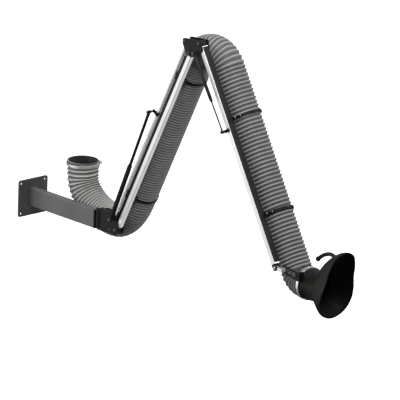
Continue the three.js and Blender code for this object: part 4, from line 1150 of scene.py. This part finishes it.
# %% Floor, sky and lights
floor_mesh = bpy.data.meshes.new("studio_floor")
FLOOR_REACH, FLOOR_DROP = 400.0, 1.6
floor_mesh.from_pydata([(-FLOOR_REACH, -FLOOR_REACH, -FLOOR_DROP),
                        (FLOOR_REACH, -FLOOR_REACH, -FLOOR_DROP),
                        (FLOOR_REACH, FLOOR_REACH, -FLOOR_DROP),
                        (-FLOOR_REACH, FLOOR_REACH, -FLOOR_DROP)], [], [(0, 1, 2, 3)])
floor = bpy.data.objects.new("studio_floor", floor_mesh)
bpy.context.scene.collection.objects.link(floor)
pale, _, pale_shader = new_finish("pale_floor", (0.9, 0.9, 0.9), 0.9, specular=0.0)
pale_shader.inputs["Emission Color"].default_value = (1, 1, 1, 1)
pale_shader.inputs["Emission Strength"].default_value = 0.75
floor_mesh.materials.append(pale)
floor.visible_diffuse = False
floor.visible_glossy = False

PALE_SPOT = Vector((0.20, 0.64, -0.74))
sky = bpy.data.worlds.new("studio_sky")
bpy.context.scene.world = sky
sky.use_nodes = True
tree = sky.node_tree
backdrop = tree.nodes["Background"]
where = tree.nodes.new("ShaderNodeTexCoord")
parts = tree.nodes.new("ShaderNodeSeparateXYZ")
tree.links.new(where.outputs["Generated"], parts.inputs["Vector"])
glow = colours(tree, between(tree, parts.outputs["Z"], 0.0, 1.0, start=-1.0, end=1.0),
               [(0.0, (0.10, 0.10, 0.10)), (0.45, (0.22, 0.22, 0.22)), (0.62, (0.55, 0.55, 0.55)),
                (1.0, (1.0, 1.0, 1.0))])
nearness = tree.nodes.new("ShaderNodeVectorMath")
nearness.operation = "DOT_PRODUCT"
nearness.inputs[1].default_value = PALE_SPOT.normalized()
tree.links.new(where.outputs["Generated"], nearness.inputs[0])
low_glow = tree.nodes.new("ShaderNodeMix")
low_glow.data_type = "RGBA"
low_glow.inputs["B"].default_value = (1.1, 1.1, 1.1, 1)
tree.links.new(between(tree, nearness.outputs["Value"], 0.0, 1.0, start=0.80, end=0.97),
               low_glow.inputs["Factor"])
tree.links.new(glow, low_glow.inputs["A"])
tree.links.new(low_glow.outputs["Result"], backdrop.inputs["Color"])
backdrop.inputs["Strength"].default_value = 0.8


def soft_light(name, place, target, width, power):
    """A square light at a place, facing a target."""
    lamp = bpy.data.lights.new(name, "AREA")
    lamp.shape = "SQUARE"
    lamp.size = width
    lamp.energy = power
    holder = bpy.data.objects.new(name, lamp)
    bpy.context.scene.collection.objects.link(holder)
    holder.location = place
    holder.rotation_mode = "QUATERNION"
    holder.rotation_quaternion = (Vector(target) - Vector(place)).to_track_quat("-Z", "Y")
    return holder


middle_of_arm = (1.2, 0.0, 0.5)
soft_light("key_light", (3.2, -1.6, 4.6), middle_of_arm, 2.4, 230)
soft_light("side_light", (-0.6, -4.6, 1.6), middle_of_arm, 2.6, 120)
soft_light("rim_light", (3.8, 3.2, 2.8), middle_of_arm, 2.2, 60)
soft_light("low_card", (-1.2, -2.25, -0.44), (1.3, 0.0, 0.55), 2.8, 21)
print("floor", FLOOR_DROP, "m down, four soft lights")

# %% [markdown]
# The view is almost without perspective, as in a catalogue drawing. A camera far away with a
# very long lens gives that. Its place comes from the direction it looks in, its sideways lean,
# and the width of the scene that fills the frame.

# %% Camera
LOOK_ROUND = math.radians(47.8)
LOOK_DOWN = math.radians(16.5)
LEAN = math.radians(1.7)
FRAME_WIDTH = 2.12
DISTANCE = 60.0
MIDDLE_RIGHT, MIDDLE_DOWN = 0.8897, 0.022

back = Vector((math.sin(LOOK_ROUND) * math.cos(LOOK_DOWN),
               -math.cos(LOOK_ROUND) * math.cos(LOOK_DOWN), math.sin(LOOK_DOWN)))
level = Vector((math.cos(LOOK_ROUND), math.sin(LOOK_ROUND), 0))
rise = back.cross(level)
right = level * math.cos(LEAN) + rise * math.sin(LEAN)
up = rise * math.cos(LEAN) - level * math.sin(LEAN)
camera_data = bpy.data.cameras.new("catalogue_camera")
camera_data.sensor_width = 36.0
camera_data.lens = camera_data.sensor_width * DISTANCE / FRAME_WIDTH
camera_data.clip_end = 1000.0
camera = bpy.data.objects.new("catalogue_camera", camera_data)
bpy.context.scene.collection.objects.link(camera)
turning = Matrix((right, up, back)).transposed().to_4x4()
camera.matrix_world = Matrix.Translation(
    right * MIDDLE_RIGHT - up * MIDDLE_DOWN + back * DISTANCE) @ turning
bpy.context.scene.camera = camera
bpy.context.scene.view_settings.view_transform = "Standard"
print("lens", round(camera_data.lens), "mm at", DISTANCE, "m")
